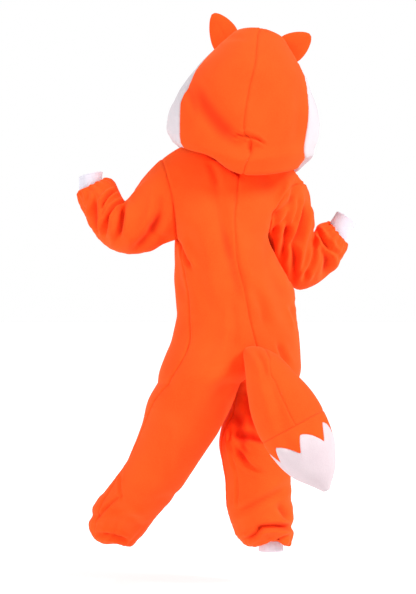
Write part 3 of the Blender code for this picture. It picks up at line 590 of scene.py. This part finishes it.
# One panel from the shoulder to the ankle. Below the underarm each row is an arc of an ellipse from the
# centre seam, or the inseam, to the side seam. Above it each row is a cubic from the neckline or the centre
# seam to the armhole. It also gives the angle round the leg.
def bodyPanel(places, side, facing, share):
    grid = np.zeros((len(places), len(share), 3))
    turned = np.zeros((len(places), len(share)))
    torso, leg, upper = (places >= 1) & (places <= 2), places > 2, places < 1

    values = alongTable(body["torso"], places[torso])
    toLeft, back = leftward(values[:, 7], 0 * values[:, 7]), backward(values[:, 7])
    split = np.clip(values[:, 8], 0, 1)
    reach = values[:, 3 if side > 0 else 4] / (1 + split)
    centre = values[:, :3] + (side * reach * split)[:, None] * toLeft
    first = np.degrees(np.arccos(-split))
    last = values[:, 9 if side > 0 else 10]
    angles = facing * first[:, None] + (last - facing * first)[:, None] * share
    grid[torso] = ringPoints(centre, side * reach, values[:, 5], values[:, 6], toLeft, back, angles)

    values = alongTable(body["legs"][side], places[leg])
    toLeft, back = leftward(values[:, 6], values[:, 7]), backward(values[:, 6])
    angles = facing * 180 + (values[:, 8] - facing * 180)[:, None] * share
    wide, deepBack, deepFront = side * values[:, 3], values[:, 4], values[:, 5]
    grid[leg] = ringPoints(values[:, :3], wide, deepBack, deepFront, toLeft, back, angles)
    turned[leg] = angles

    row = places[upper]
    meeting = grid[np.flatnonzero(torso)[0]]
    neck = row <= body["neckPlace"] + 1e-9
    edge = np.zeros((len(row), 3))
    edge[neck] = headPoints(hood["neck"], facing * 90 * row[neck] / body["neckPlace"], side)
    top = headPoints(hood["neck"], np.array([facing * 90.0]), side)[0]
    line = [(body["neckPlace"], *top), *body["centre"][facing], (1.0, *meeting[0])]
    edge[~neck] = alongTable(line, row[~neck])
    hole = np.array(body["armholes"][side])[:, [0, 1, 2, 3] if facing > 0 else [0, 4, 5, 6]]
    rim = alongTable(np.vstack([hole, [1.0, *meeting[-1]]]), row)
    near, far, deep, up = alongTable(body["shoulders"], row).T[:, :, None]
    lift = body["shoulderRise"][side] * up * np.array([0, 0, 1.0])
    turn = alongTable(body["shoulderTurn"], row)[:, 0]
    toLeft, back = side * leftward(turn, 0 * turn), facing * backward(turn)
    span = np.linalg.norm(rim - edge, axis=1, keepdims=True)
    start = edge + near * span * toLeft + lift
    end = rim - far * span * toLeft + deep * back * np.minimum(1, span / body["fullSpan"]) + lift
    u = share[None, :, None]
    grid[upper] = (
        (1 - u) ** 3 * edge[:, None]
        + 3 * u * (1 - u) ** 2 * start[:, None]
        + 3 * u**2 * (1 - u) * end[:, None]
        + u**3 * rim[:, None]
    )
    return grid, turned


bodyPlaces = finer(body["rows"], body["finer"])
bodyShare = closeAtEnds(body["columns"])
underarm, crotch, neckRow, hipRow = (
    body["rows"].index(place) * body["finer"] for place in (1.0, 2.0, body["neckPlace"], 1.7)
)
panels, turns = {}, {}
for s in (1, -1):
    for f in (1, -1):
        panels[s, f], turns[s, f] = bodyPanel(bodyPlaces, s, f, bodyShare)

# The rows near the underarm are eased: each is moved towards the mean of the rows above and below it.
near = np.exp(-(((np.arange(len(bodyPlaces)) - underarm) / body["easeRows"]) ** 2))[1:-1, None, None]
for grid in panels.values():
    for turn in range(body["easeTurns"]):
        grid[1:-1] += near * 0.5 * ((grid[2:] + grid[:-2]) / 2 - grid[1:-1])
outward = {key: gridNormals(grid) * (key[0] * key[1]) for key, grid in panels.items()}

# Panels that meet at a seam take the mean of their normals there, so that they stay together when moved.
for f in (1, -1):
    shared = unitOf(outward[1, f][:, 0] + outward[-1, f][:, 0])
    for s in (1, -1):
        outward[s, f][neckRow:crotch, 0] = shared[neckRow:crotch]
for s in (1, -1):
    sideSeam = unitOf(outward[s, 1][underarm:, -1] + outward[s, -1][underarm:, -1])
    inseam = unitOf(outward[s, 1][crotch + 1 :, 0] + outward[s, -1][crotch + 1 :, 0])
    shoulder = unitOf(outward[s, 1][0] + outward[s, -1][0])
    for f in (1, -1):
        outward[s, f][underarm:, -1] = sideSeam
        outward[s, f][crotch + 1 :, 0] = inseam
        outward[s, f][crotch, 0] = (0, 0, -1)
        outward[s, f][0] = shoulder

sleeveCreases = {
    "back": (
        # left sleeve
        (158, -84, 166, -140, 3, 11, 4.5, 0.2), (164, -136, 209, -198, 4, 11, 10.0, 0.3),
        (238, -108, 247, -170, 1, 6, 11.0, 0.5), (297, -90, 292, -164, -4, 7, 12.0, 0.3),
        (254, -76, 281, -108, -5, 3.5, 9.0, 0.7), (235, -97, 272, -138, -8, 3.5, 9.0, 0.7),
        (270, -132, 277, -168, 0, 5, 9.0, 0.5), (222, -96, 226, -180, 2, 8, -4.0, 0.1),
        (284, -112, 282, -160, 0, 4, -3.5, 0.1), (258, -130, 262, -186, 2, 6, -3.5, 0.1),
        (176, -90, 192, -150, 3, 9, -3.0, 0.1), (312, -84, 318, -116, 3, 5, 5.0, 0.4),
        (184, -148, 150, -172, -4, 9, 3.0, 0.3),
        # right sleeve, troughs
        (-128, -58, -120, -94, -3, 7, 6.0, 0.3), (-120, -92, -84, -126, 3, 7, 7.0, 0.3),
        (-116, -112, -70, -168, 4, 4.5, 6.0, 0.5), (-84, -120, -74, -180, 3, 9, 6.0, 0.2),
        (-108, -142, -97, -214, 3, 8, 12.0, 0.3), (-145, -108, -118, -190, 6, 7, 10.0, 0.3),
        (-118, -186, -120, -262, 5, 7, 10.0, 0.3), (-132, -82, -100, -176, 8, 4, 6.0, 0.5),
        (-150, -92, -142, -136, 2, 6, 5.0, 0.3), (-165, -166, -165, -206, 0, 5, 6.0, 0.5),
        (-165, -200, -144, -258, 3, 5, 9.0, 0.5), (-171, -158, -211, -208, -3, 5, 9.0, 0.6),
        (-180, -196, -190, -242, 6, 9, 7.0, 0.3), (-196, -214, -182, -256, 3, 8, 4.0, 0.3),
        # right sleeve, ridges
        (-107, -54, -90, -98, 3, 7, -4.0, 0.2), (-118, -134, -103, -232, 3, 5, -5.0, 0.2),
        (-151, -110, -125, -254, 6, 6, -6.0, 0.2), (-174, -188, -152, -256, -4, 6, -5.0, 0.2),
        (-206, -168, -208, -226, -5, 6, -5.0, 0.2),
    ),
    "front": (
        (160, -90, 210, -180, 6, 9, 5.0, 0.5), (238, -100, 250, -180, 4, 8, 4.5, 0.5),
        (286, -90, 276, -160, 4, 7, 4.0, 0.5), (-120, -120, -110, -210, 4, 8, 4.5, 0.5),
        (-150, -140, -134, -250, 4, 8, 4.5, 0.5), (-190, -160, -214, -220, 4, 7, 3.6, 0.5),
    ),
    "left": ((20, -60, -20, -130, 5, 10, 3.4, 0.4), (-20, -80, 10, -150, 5, 9, 3.0, 0.4)),
    "right": ((-40, -90, -90, -160, 5, 10, 3.4, 0.4), (-60, -150, -100, -220, 5, 9, 3.4, 0.4)),
}

sleeve = {
    # place, upper edge x, z, lower edge x, z, centre y, half depth
    "rings": {
        1: (
            (0.00, 157, -8, 124, -178, 14, 52),
            (0.15, 183, -34, 152, -188, 10, 60),
            (0.30, 209, -67, 190, -204, 4, 60),
            (0.42, 228, -95, 226, -209, -3, 57),
            (0.52, 237, -93, 262, -199, -8, 54),
            (0.62, 245, -79, 290, -176, -13, 51),
            (0.74, 252, -64, 308, -146, -20, 49),
            (0.85, 258, -55, 324, -112, -27, 46),
            (0.93, 268, -49, 333, -90, -32, 42),
            (0.98, 278, -51, 335, -79, -35, 35),
            (1.00, 282, -55, 334, -74, -36, 29),
        ),
        -1: (
            (0.00, -146, -58, -64, -178, -28, 55),
            (0.15, -157, -80, -73, -206, -46, 58),
            (0.30, -166, -118, -85, -250, -64, 54),
            (0.42, -170, -146, -115, -273, -74, 52),
            (0.52, -168, -158, -139, -282, -80, 50),
            (0.62, -171, -153, -170, -272, -87, 50),
            (0.74, -176, -144, -200, -251, -93, 48),
            (0.85, -187, -139, -222, -228, -98, 45),
            (0.93, -199, -138, -237, -198, -102, 40),
            (0.98, -200, -138, -240, -183, -104, 35),
            (1.00, -198, -142, -238, -180, -105, 30),
        ),
    },
    "rows": [0, 0.06, 0.13, 0.2, 0.28, 0.36, 0.43, 0.49, 0.55, 0.62, 0.7, 0.78, 0.86, 0.92, 0.96, 0.985, 1.0],
    "finer": 8,
    "gather": {"waves": 17, "height": 2.4, "reach": 0.13},
    "blend": 0.35,  # place at which the armhole's shape has gone
    "radius": 55,  # for distances round the sleeve to its underarm seam
}


# A tube whose rings are worked out from the sleeve's two edges seen from behind. The first ring is the
# armhole, and over the first third the loop changes smoothly to those rings.
def sleeveTube(rings, loop, places, angles):
    values = alongTable(rings, places)
    top = np.stack([values[:, 0], values[:, 4], values[:, 1]], -1)
    low = np.stack([values[:, 2], values[:, 4], values[:, 3]], -1)
    sine, cosine = sines(angles)
    tube = (top + low)[:, None] / 2 + (top - low)[:, None] / 2 * cosine[:, None]
    tube = tube + (values[:, 5, None] * sine)[..., None] * toBack
    fade = smooth(1 - places / sleeve["blend"])[:, None, None]
    return tube + (loop - tube[0]) * fade


# Gathers at an elastic: waves round the end, uneven in height, that grow towards it and die out up the cloth.
def gatherHeight(angles, left, gather):
    turn = np.radians(angles)
    waves = np.cos(gather["waves"] * turn + 0.7 * np.sin(3 * turn)) * (0.75 + 0.35 * np.sin(2 * turn + 1))
    waves += 0.45 * np.cos((gather["waves"] - 6) * turn + 2)
    grow = np.exp(-((left / gather["reach"]) ** 2)) * smooth(left, -0.001, 0.25 * gather["reach"])
    return gather["height"] * waves * grow


sleevePlaces = finer(sleeve["rows"], sleeve["finer"])
sleeves = {}
for s in (1, -1):
    loop, edge = (
        np.concatenate([grids[s, 1][: underarm + 1, -1], grids[s, -1][1:underarm, -1][::-1]])
        for grids in (panels, outward)
    )
    half = 180 * bodyPlaces[: underarm + 1]
    angles = np.concatenate([half, 360 - half[1:-1][::-1]])
    tube = sleeveTube(sleeve["rings"][s], loop, sleevePlaces, angles)
    out = gridNormals(tube, joined=True) * -s
    edge = unitOf(edge + out[0])
    out[0] = edge
    outward[s, 1][: underarm + 1, -1] = edge[: underarm + 1]
    outward[s, -1][1:underarm, -1] = edge[underarm + 1 :][::-1]
    outward[s, -1][[0, underarm], -1] = edge[[0, underarm]]
    sleeves[s] = (tube, out, angles)

for (s, f), grid in panels.items():
    hemPlace, hemReach, drop = body["hemDrop"][s]
    if s > 0 or f > 0:
        near = np.exp(-(((grid[..., 0] - hemPlace) / hemReach) ** 2))
        grid[..., 2] -= drop * near * smooth(bodyPlaces, 2.88, 2.97)[:, None]
    out = outward[s, f]
    distance = seamDistance(grid, ("first", "start", "end"))
    height = looseHeight(grid, out, distance, bodyCreases, {"back": sleeveCreases["back"]})
    left = (3.0 - bodyPlaces)[:, None]
    height += np.where(bodyPlaces[:, None] > 2.5, gatherHeight(turns[s, f], left, body["gather"]), 0)
    height *= smooth(left, -0.001, 0.012)
    panels[s, f] = grid + height[..., None] * out
    name = faceName[f] + "_" + sideName[s]
    piece = clothPiece(name + "_fleece", panels[s, f], out, orangeCloth, height=height)
    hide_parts(name)

for s, (tube, out, angles) in sleeves.items():
    distance = seamDistance(tube, ("first",))
    distance = np.minimum(distance, np.abs(np.radians(angles - 180)) * sleeve["radius"])
    height = looseHeight(tube, out, distance, sleeveCreases, {"back": bodyCreases["back"]})
    height += gatherHeight(angles[None, :], (1 - sleevePlaces)[:, None], sleeve["gather"])
    height *= smooth(1 - sleevePlaces, -0.001, 0.02)[:, None]
    tube = tube + height[..., None] * out
    name = "sleeve_" + sideName[s]
    piece = clothPiece(name + "_fleece", tube, out, orangeCloth, joined=True, height=height)
    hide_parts(name)
print("body and sleeves made")

# The placket lies along the first columns of the two front panels, from the neckline to the hips.
rows = slice(neckRow + 4, hipRow + 1)
left, right = panels[1, -1][rows], panels[-1, -1][rows]
out = outward[1, -1][rows, 0]
sideways = unitOf(unitOf(left[:, 3] - left[:, 0]) - unitOf(right[:, 3] - right[:, 0]))
middle = (left[:, 0] + right[:, 0]) / 2
placket = body["placket"]
t = np.linspace(-1, 1, placket["columns"])
raised = (placket["raise"] + placket["swell"] * (1 - t**6))[None, :, None] * out[:, None]
grid = middle[:, None] + (placket["reach"] * t)[None, :, None] * sideways[:, None] + raised
out = np.repeat(out[:, None], placket["columns"], axis=1)
piece = clothPiece("front_placket_fleece", grid, out, orangeCloth)
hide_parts("front_placket")

cuffs = {
    # sewn end x, y, z, free end x, y, z, direction across x, z at each end, half width, half depth
    "cuff_left": (308, -36, -67, 307, -38, -39, 0.92, -0.40, 0.97, -0.23, 25.8, 26.6),
    "cuff_right": (-216, -104.5, -163, -239, -110, -129, -0.72, -0.69, -0.80, -0.60, 24.8, 26.4),
    "ankle_cuff_left": (263, -112, -793, 269, -117, -813, 0.88, 0.47, 0.88, 0.47, 26.9, 28.4),
    "ankle_cuff_right": (-74, -22, -812, -74, -22, -834, 1.0, 0.0, 1.0, 0.0, 26.3, 28.1),
}
cuffShape = {
    "ribs": 64,
    "ribHeight": 0.3,
    "stepsPerRib": 6,
    "rows": 31,
    "sewn": 0.97,  # width at the sewing, which grows to the whole over the first share of the length
    "grow": 0.3,
    # height of the roll, how far it reaches as a share of the length, and how far its edge draws in
    "roll": 0.9,
    "reach": 2.2 / 24,
    "edge": 0.6,
}

# A tube along a straight line: an ellipse across it whose radius has one small wave for each rib. It draws
# in at the sewing and rolls over softly at the free end.
for name, row in cuffs.items():
    start, end = np.array(row[:3], float), np.array(row[3:6], float)
    first, last = np.array([row[6], 0, row[7]]), np.array([row[8], 0, row[9]])
    turn = np.linspace(0, 2 * np.pi, cuffShape["ribs"] * cuffShape["stepsPerRib"], endpoint=False)
    t = np.linspace(0, 1, cuffShape["rows"])[:, None]
    across = unitOf(first + (last - first) * t)
    deep = unitOf(np.cross(across, end - start))
    rib = cuffShape["ribHeight"] * (np.cos(cuffShape["ribs"] * turn) - 1)
    shape = cuffShape["sewn"] + (1 - cuffShape["sewn"]) * smooth(t, 0, cuffShape["grow"])
    lip = cuffShape["roll"] * np.exp(-(((1 - t) / cuffShape["reach"]) ** 2))
    lip -= cuffShape["edge"] * smooth(t, 0.9, 1)
    wide, thick = (half * shape + rib + lip - cuffShape["ribHeight"] for half in row[10:])
    grid = (start + (end - start) * t)[:, None] + (wide * np.cos(turn))[..., None] * across[:, None]
    grid = grid + (thick * np.sin(turn))[..., None] * deep[:, None]
    out = unitOf(grid - grid.mean(axis=1, keepdims=True))
    piece = clothPiece(name + "_rib", grid, out, ribCloth, joined=True)
    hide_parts(name)
print("cuffs made")

places = finer(hood["rows"], 8)
seamAngle, edgeAngle = alongTable(hood["rings"], places)[:, 7:].T
backColumns, cheekColumns = hood["columns"]
share = np.concatenate([closeAtEnds(backColumns), 1 + closeAtEnds(cheekColumns)[1:]])
hoodSide = hoodFrame()[1]
hoodPieces = []
# cloth, width and length of the flat piece, area
hoodCut = {"hood_back_": (orangeCloth, (0.25, 0.36), 0.064), "hood_cheek_": (whiteCloth, (0.22, 0.35), 0.055)}
path = np.interp(places, *np.array(hood["seamPath"], float).T)
middleTurn = np.degrees(path / np.maximum(alongTable(hood["rings"], places)[:, 3], 20))
for s in (1, -1):
    seam = seamAngle + alongTable(hood["seamTurn"], places)[:, 0 if s > 0 else 1]
    crown = 90 + s * middleTurn[:, None]
    angles = np.where(
        share <= 1,
        crown + (seam[:, None] - crown) * share,
        seam[:, None] + (edgeAngle - seam)[:, None] * (share - 1),
    )
    grid = headPoints(alongTable(hood["rings"], places)[:, :7].T[:, :, None], angles, s)
    liftPlace, liftReach, lift, inward = hood["lowLift"][s]
    up = (places[:, None] - hood["lowRows"][0]) / hood["lowRows"][1]
    near = np.exp(-(up**2) - ((grid[..., 0] - liftPlace) / liftReach) ** 2)
    grid[..., 2] += lift * near * smooth(np.sin(np.radians(angles)), -0.4, 0.1)
    grid[..., 0] -= s * inward * near
    out = gridNormals(grid) * -s
    for line in (np.s_[:, 0], np.s_[-1, :]):
        sideways = out[line] @ hoodSide
        out[line] = unitOf(out[line] - sideways[:, None] * hoodSide)
    parts = {"hood_back_": np.s_[:, :backColumns], "hood_cheek_": np.s_[:, backColumns - 1 :]}
    distance = np.zeros(grid.shape[:2])
    for part, edges in zip(parts.values(), (("first", "last", "start", "end"), ("first", "last", "start"))):
        distance[part] = seamDistance(grid[part], edges)
    height = creaseHeight(grid, out, hoodCreases) + 0.8 * sagHeight(grid) + seamHeight(grid, distance)
    fromNeck, fromCrown = hood["fade"]
    height *= (smooth(places, 0, fromNeck) * smooth(places[-1] - places, -0.02, fromCrown))[:, None]
    moved = grid + height[..., None] * out
    for name, part in parts.items():
        look, flat, area = hoodCut[name]
        piece = clothPiece(name + sideName[s] + "_fleece", moved[part], out[part], look, height=height[part])
        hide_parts(name + sideName[s])
        hoodPieces.append(piece)

ears = {
    "left": {"base": (15, -34, 234), "tip": (48, -38, 302), "side": (0.87, -0.49), "width": 31},
    "right": {"base": (-101, -34, 218), "tip": (-158, -38, 257), "side": (-0.55, -0.84), "width": 31},
}
earShape = {
    "outline": ((0, 1.0), (0.25, 1.0), (0.5, 0.86), (0.75, 0.6), (0.92, 0.33), (1, 0.13)),  # height, width
    "rows": 40,
    "columns": 41,
    "thickness": 1.4,
    "apart": 1.93,  # from the middle of the ear to each skin, and at its rim
    "rim": 0.3,
    "swell": 5,
    "fold": (1.2, 0.15, 0.16),  # height of the soft fold up the ear, how far it leans, its half width
    "stop": 0.6,  # how far before the hood the foot stops, and how fast that reach dies out up the ear
    "foot": 0.8,
}


def treeOf(piece):
    return BVHTree.FromPolygons(
        [tuple(v.co) for v in piece.data.vertices], [tuple(p.vertices) for p in piece.data.polygons]
    )


# How far each point travels along a direction before it meets one of the surfaces.
def travel(points, direction, trees):
    direction = unitOf(np.array(direction, float))
    found, runUp = [], 300
    for point in points:
        start = Vector((point - runUp * direction) * toMetres)
        hits = [tree.ray_cast(start, Vector(direction)) for tree in trees]
        found.append(min(hit[3] for hit in hits if hit[0] is not None) / toMetres - runUp)
    return np.array(found)


# A leaf: straight across at each height, as wide as the table says, and swollen by 1 - t^2. Its foot runs
# down to the hood.
hoodTrees = [treeOf(piece) for piece in hoodPieces]
for side, ear in ears.items():
    base, tip = np.array(ear["base"], float), np.array(ear["tip"], float)
    across = np.array([ear["side"][0], 0, ear["side"][1]])
    rise = np.linspace(0, 1, earShape["rows"])
    width = ear["width"] * alongTable(earShape["outline"], rise)[:, 0]
    t = np.linspace(-1, 1, earShape["columns"])
    leaf = base + rise[:, None, None] * (tip - base) + (width[:, None] * t)[..., None] * across
    bulge = (earShape["swell"] * (1 - t**2))[None, :] * np.sqrt(np.clip(width / ear["width"], 0, 1))[:, None]
    high, foldLean, foldWidth = earShape["fold"]
    fold = high * np.exp(-(((t[None, :] - foldLean * rise[:, None]) / foldWidth) ** 2))
    fold *= smooth(1 - rise)[:, None]
    direction = -unitOf(tip - base)
    for name, way in (("back", 1), ("front", -1)):
        thick = way * (earShape["apart"] + bulge - fold * way)
        skin = leaf + thick[..., None] * toBack
        skin[:, [0, -1]] = leaf[:, [0, -1]] + way * earShape["rim"] * toBack
        drop = travel(skin[0], direction, hoodTrees) - earShape["stop"]
        skin = skin + (drop * (1 - rise[:, None]) ** earShape["foot"])[..., None] * direction
        out = np.broadcast_to(way * toBack, skin.shape)
        look = (*orangeCloth[:2], earShape["thickness"])
        piece = clothPiece(f"ear_{side}_{name}_fleece", skin, out, look)
        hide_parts(f"ear_{side}_{name}")
print("hood and ears made")

tailCreases = {
    "back": (
        (-40, -412, -62, -462, 4, 6, 3.5, 0.5), (-76, -480, -98, -572, 2, 12, 4.0, 0.3),
        (-118, -480, -134, -560, 3, 12, -2.0, 0.1), (-48, -470, -70, -560, 3, 12, -2.0, 0.1),
        (-150, -580, -150, -640, 3, 12, 2.0, 0.4), (-100, -600, -124, -640, 3, 11, 2.0, 0.4),
    ),
}

tail = {
    # place, centre x, y, z, half width, half thickness, lean of the section
    "rings": (
        (0.00, -46, 104, -417, 36, 13, 20),
        (0.09, -49, 138, -422, 38, 22, 22),
        (0.18, -56, 155, -439, 42, 34, 25),
        (0.30, -69, 162, -472, 53, 42, 29),
        (0.45, -88, 167, -513, 66, 45, 33),
        (0.60, -110, 170, -555, 70, 45, 34),
        (0.74, -130, 172, -592, 66, 43, 30),
        (0.86, -147, 172, -625, 56, 37, 22),
        (0.95, -165, 171, -657, 36, 26, 16),
        (1.00, -178, 170, -684, 10, 8, 14),
    ),
    "columns": 144,
    "inward": (0.4, -0.9, 0.17),  # the way to the seat
    "bandTop": 0.615,  # places of the seams, and how far the second zigzags to both sides
    "tipTop": 0.735,
    "zigzag": 0.055,
    "teeth": 7,  # rounded at the top, pointed at the bottom
    "toothTurn": 0.54,  # share of a tooth by which they are turned
    "rise": (0.22, 0.35),  # share of a tooth that rises, and how straight its sides are
    "seamShare": 0.45,  # the stuffing pushes the seams out, except near the sewing to the seat
    "baseReach": 14,
    "seat": (0.1, 0.5),  # place up to which the base runs on to the seat, and how far before it it stops
    "tipRows": (40, 1.35),  # closer together towards the end
    "close": (5, (0.85, 0.6, 0.3, 0.02)),  # height of the round end, and the share of each of its rings
}


# Rings round the tail's middle line: centre + half width * cos * across + half thickness * sin * deep.
# A place may change round the ring, so that an edge can zigzag.
def tailSurface(places, angles):
    shape = places.shape
    values = alongTable(tail["rings"], places.ravel()).reshape(*shape, 6)
    before, after = (alongTable(tail["rings"], places.ravel() + step)[:, :3] for step in (-0.01, 0.01))
    axis = unitOf((after - before).reshape(*shape, 3))
    lean = np.radians(values[..., 5])
    across = np.stack([np.cos(lean), 0 * lean, np.sin(lean)], -1)
    across = unitOf(across - (across * axis).sum(-1, keepdims=True) * axis)
    deep = np.cross(across, axis)
    deep *= np.sign(deep[..., 1:2])
    sine, cosine = sines(angles)
    return (
        values[..., :3]
        + (values[..., 3] * cosine)[..., None] * across
        + (values[..., 4] * sine)[..., None] * deep
    )


angles = np.arange(tail["columns"]) * 360 / tail["columns"]
rise = (angles * tail["teeth"] / 360 - tail["toothTurn"]) % 1
steep, straight = tail["rise"]
tooth = np.minimum(rise / steep, (1 - rise) / (1 - steep))
zigzag = tail["zigzag"] * (1 - 2 * (straight * tooth + (1 - straight) * np.sin(np.pi / 2 * tooth)))
whole = np.ones(tail["columns"])
quarter = tail["columns"] // 4
seatTrees = [treeOf(bpy.data.objects[name]) for name in ("back_left_fleece", "back_right_fleece")]


# One piece of the tail: whole rings, or parts of rings round the middle line given as core. The sewn edges
# dip as the other seams do.
def tailPiece(name, grid, edges, look, core=None):
    joined = core is None
    out = gridNormals(grid, joined=joined)
    centre = grid.mean(axis=1, keepdims=True) if joined else core
    out *= np.sign((out * (grid - centre)).sum())
    distance = seamDistance(grid, edges)
    height = creaseHeight(grid, out, tailCreases) + 0.8 * sagHeight(grid)
    base = 0 if joined else np.exp(-((seamDistance(grid, ("first",)) / tail["baseReach"]) ** 2))
    height += (tail["seamShare"] + base * (1 - tail["seamShare"])) * seamHeight(grid, distance)
    moved = grid + height[..., None] * out
    piece = clothPiece(name + "_fleece", moved, out, look, joined=joined, height=height)
    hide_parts(name)


top = finer([0.0, 0.05, 0.1, 0.16, 0.22, 0.29, 0.36, 0.43, 0.52, tail["bandTop"]], 7)
for name, start, way in (("tail_left", -quarter, 1), ("tail_right", 3 * quarter, -1)):
    columns = (start + way * np.arange(2 * quarter + 1)) % tail["columns"]
    grid = tailSurface(top[:, None] * whole[columns], angles[columns])
    drop = travel(grid[0], tail["inward"], seatTrees) - tail["seat"][1]
    fade = smooth(1 - top / tail["seat"][0])[:, None, None]
    grid = grid + fade * drop[None, :, None] * unitOf(np.array(tail["inward"]))
    core = alongTable(tail["rings"], top)[:, None, :3]
    tailPiece(name, grid, ("first", "last", "start", "end"), orangeCloth, core)

rows = np.linspace(0, 1, 22)[:, None]
edgeLow = tail["tipTop"] + zigzag
grid = tailSurface(tail["bandTop"] + rows * (edgeLow - tail["bandTop"]), angles)
tailPiece("tail_band", grid, ("first", "last"), orangeCloth)
count, power = tail["tipRows"]
rows = (1 - (1 - np.linspace(0, 1, count)) ** power)[:, None]
grid = tailSurface(edgeLow + rows * (1 - edgeLow), angles)
closing = grid[-1].mean(axis=0)
ahead = unitOf(closing - grid[-2].mean(axis=0))
high, shares = tail["close"]
inner = [closing + (grid[-1] - closing) * k + ahead * high * np.sqrt(1 - k * k) for k in shares]
tailPiece("tail_tip", np.concatenate([grid, np.array(inner)]), ("first",), paintedBounceTipCloth)
print("tail made")

# White paper lit from behind as well: it glows a little, so that only a soft shadow shows on it.
stage = {"paper": 0.5, "glow": 0.62, "size": 40.0, "sky": 0.38}
pale = bpy.data.materials.new("backlitWhitePaper")
pale.use_nodes = True
look = {"Base Color": (stage["paper"],) * 3 + (1,), "Roughness": 0.9}
look |= {"Emission Color": (1, 1, 1, 1), "Emission Strength": stage["glow"]}
for key, value in look.items():
    pale.node_tree.nodes["Principled BSDF"].inputs[key].default_value = value
size, z = stage["size"], floorHeight * toMetres
mesh = bpy.data.meshes.new("floor")
mesh.from_pydata([(-size, -size, z), (size, -size, z), (size, size, z), (-size, size, z)], [], [(0, 1, 2, 3)])
mesh.materials.append(pale)
floor = bpy.data.objects.new("floor", mesh)
bpy.context.scene.collection.objects.link(floor)

# The backdrop is seen as white, and gives less light than that.
world = bpy.data.worlds.new("studio")
bpy.context.scene.world = world
world.use_nodes = True
tree = world.node_tree
path = addNode(tree, "ShaderNodeLightPath", {}, {})
ends = {"To Min": stage["sky"], "To Max": 1.0}
strength = addNode(tree, "ShaderNodeMapRange", ends, {"Value": path.outputs["Is Camera Ray"]})
tree.nodes["Background"].inputs["Color"].default_value = (1, 1, 1, 1)
tree.links.new(strength.outputs["Result"], tree.nodes["Background"].inputs["Strength"])

lights = (
    # name, kind, where it comes from x, y, z in metres, size in metres or degrees, strength
    ("key", "SUN", -3.0, 1.8, 2.3, 20, 3.0),
    ("fill", "SUN", 3.0, 2.2, 0.8, 40, 1.5),
    ("front", "AREA", 0.6, -3.0, 1.2, 2.0, 46),
)
for name, kind, x, y, z, width, power in lights:
    data = bpy.data.lights.new(name, kind)
    data.energy = power
    if kind == "SUN":
        data.angle = np.radians(width)
    else:
        data.size = width
    lamp = bpy.data.objects.new(name, data)
    lamp.location = (x, y, z)
    lamp.rotation_euler = (Vector((0, 0, -0.35)) - lamp.location).to_track_quat("-Z", "Y").to_euler()
    bpy.context.scene.collection.objects.link(lamp)

data = bpy.data.cameras.new("camera")
data.lens, data.sensor_width = view["lens"], view["sensor"]
camera = bpy.data.objects.new("camera", data)
camera.location = Vector(view["place"]) * toMetres
camera.rotation_euler = (np.pi / 2, 0, np.pi)
bpy.context.scene.collection.objects.link(camera)
bpy.context.scene.camera = camera
bpy.context.scene.view_settings.view_transform = "Standard"
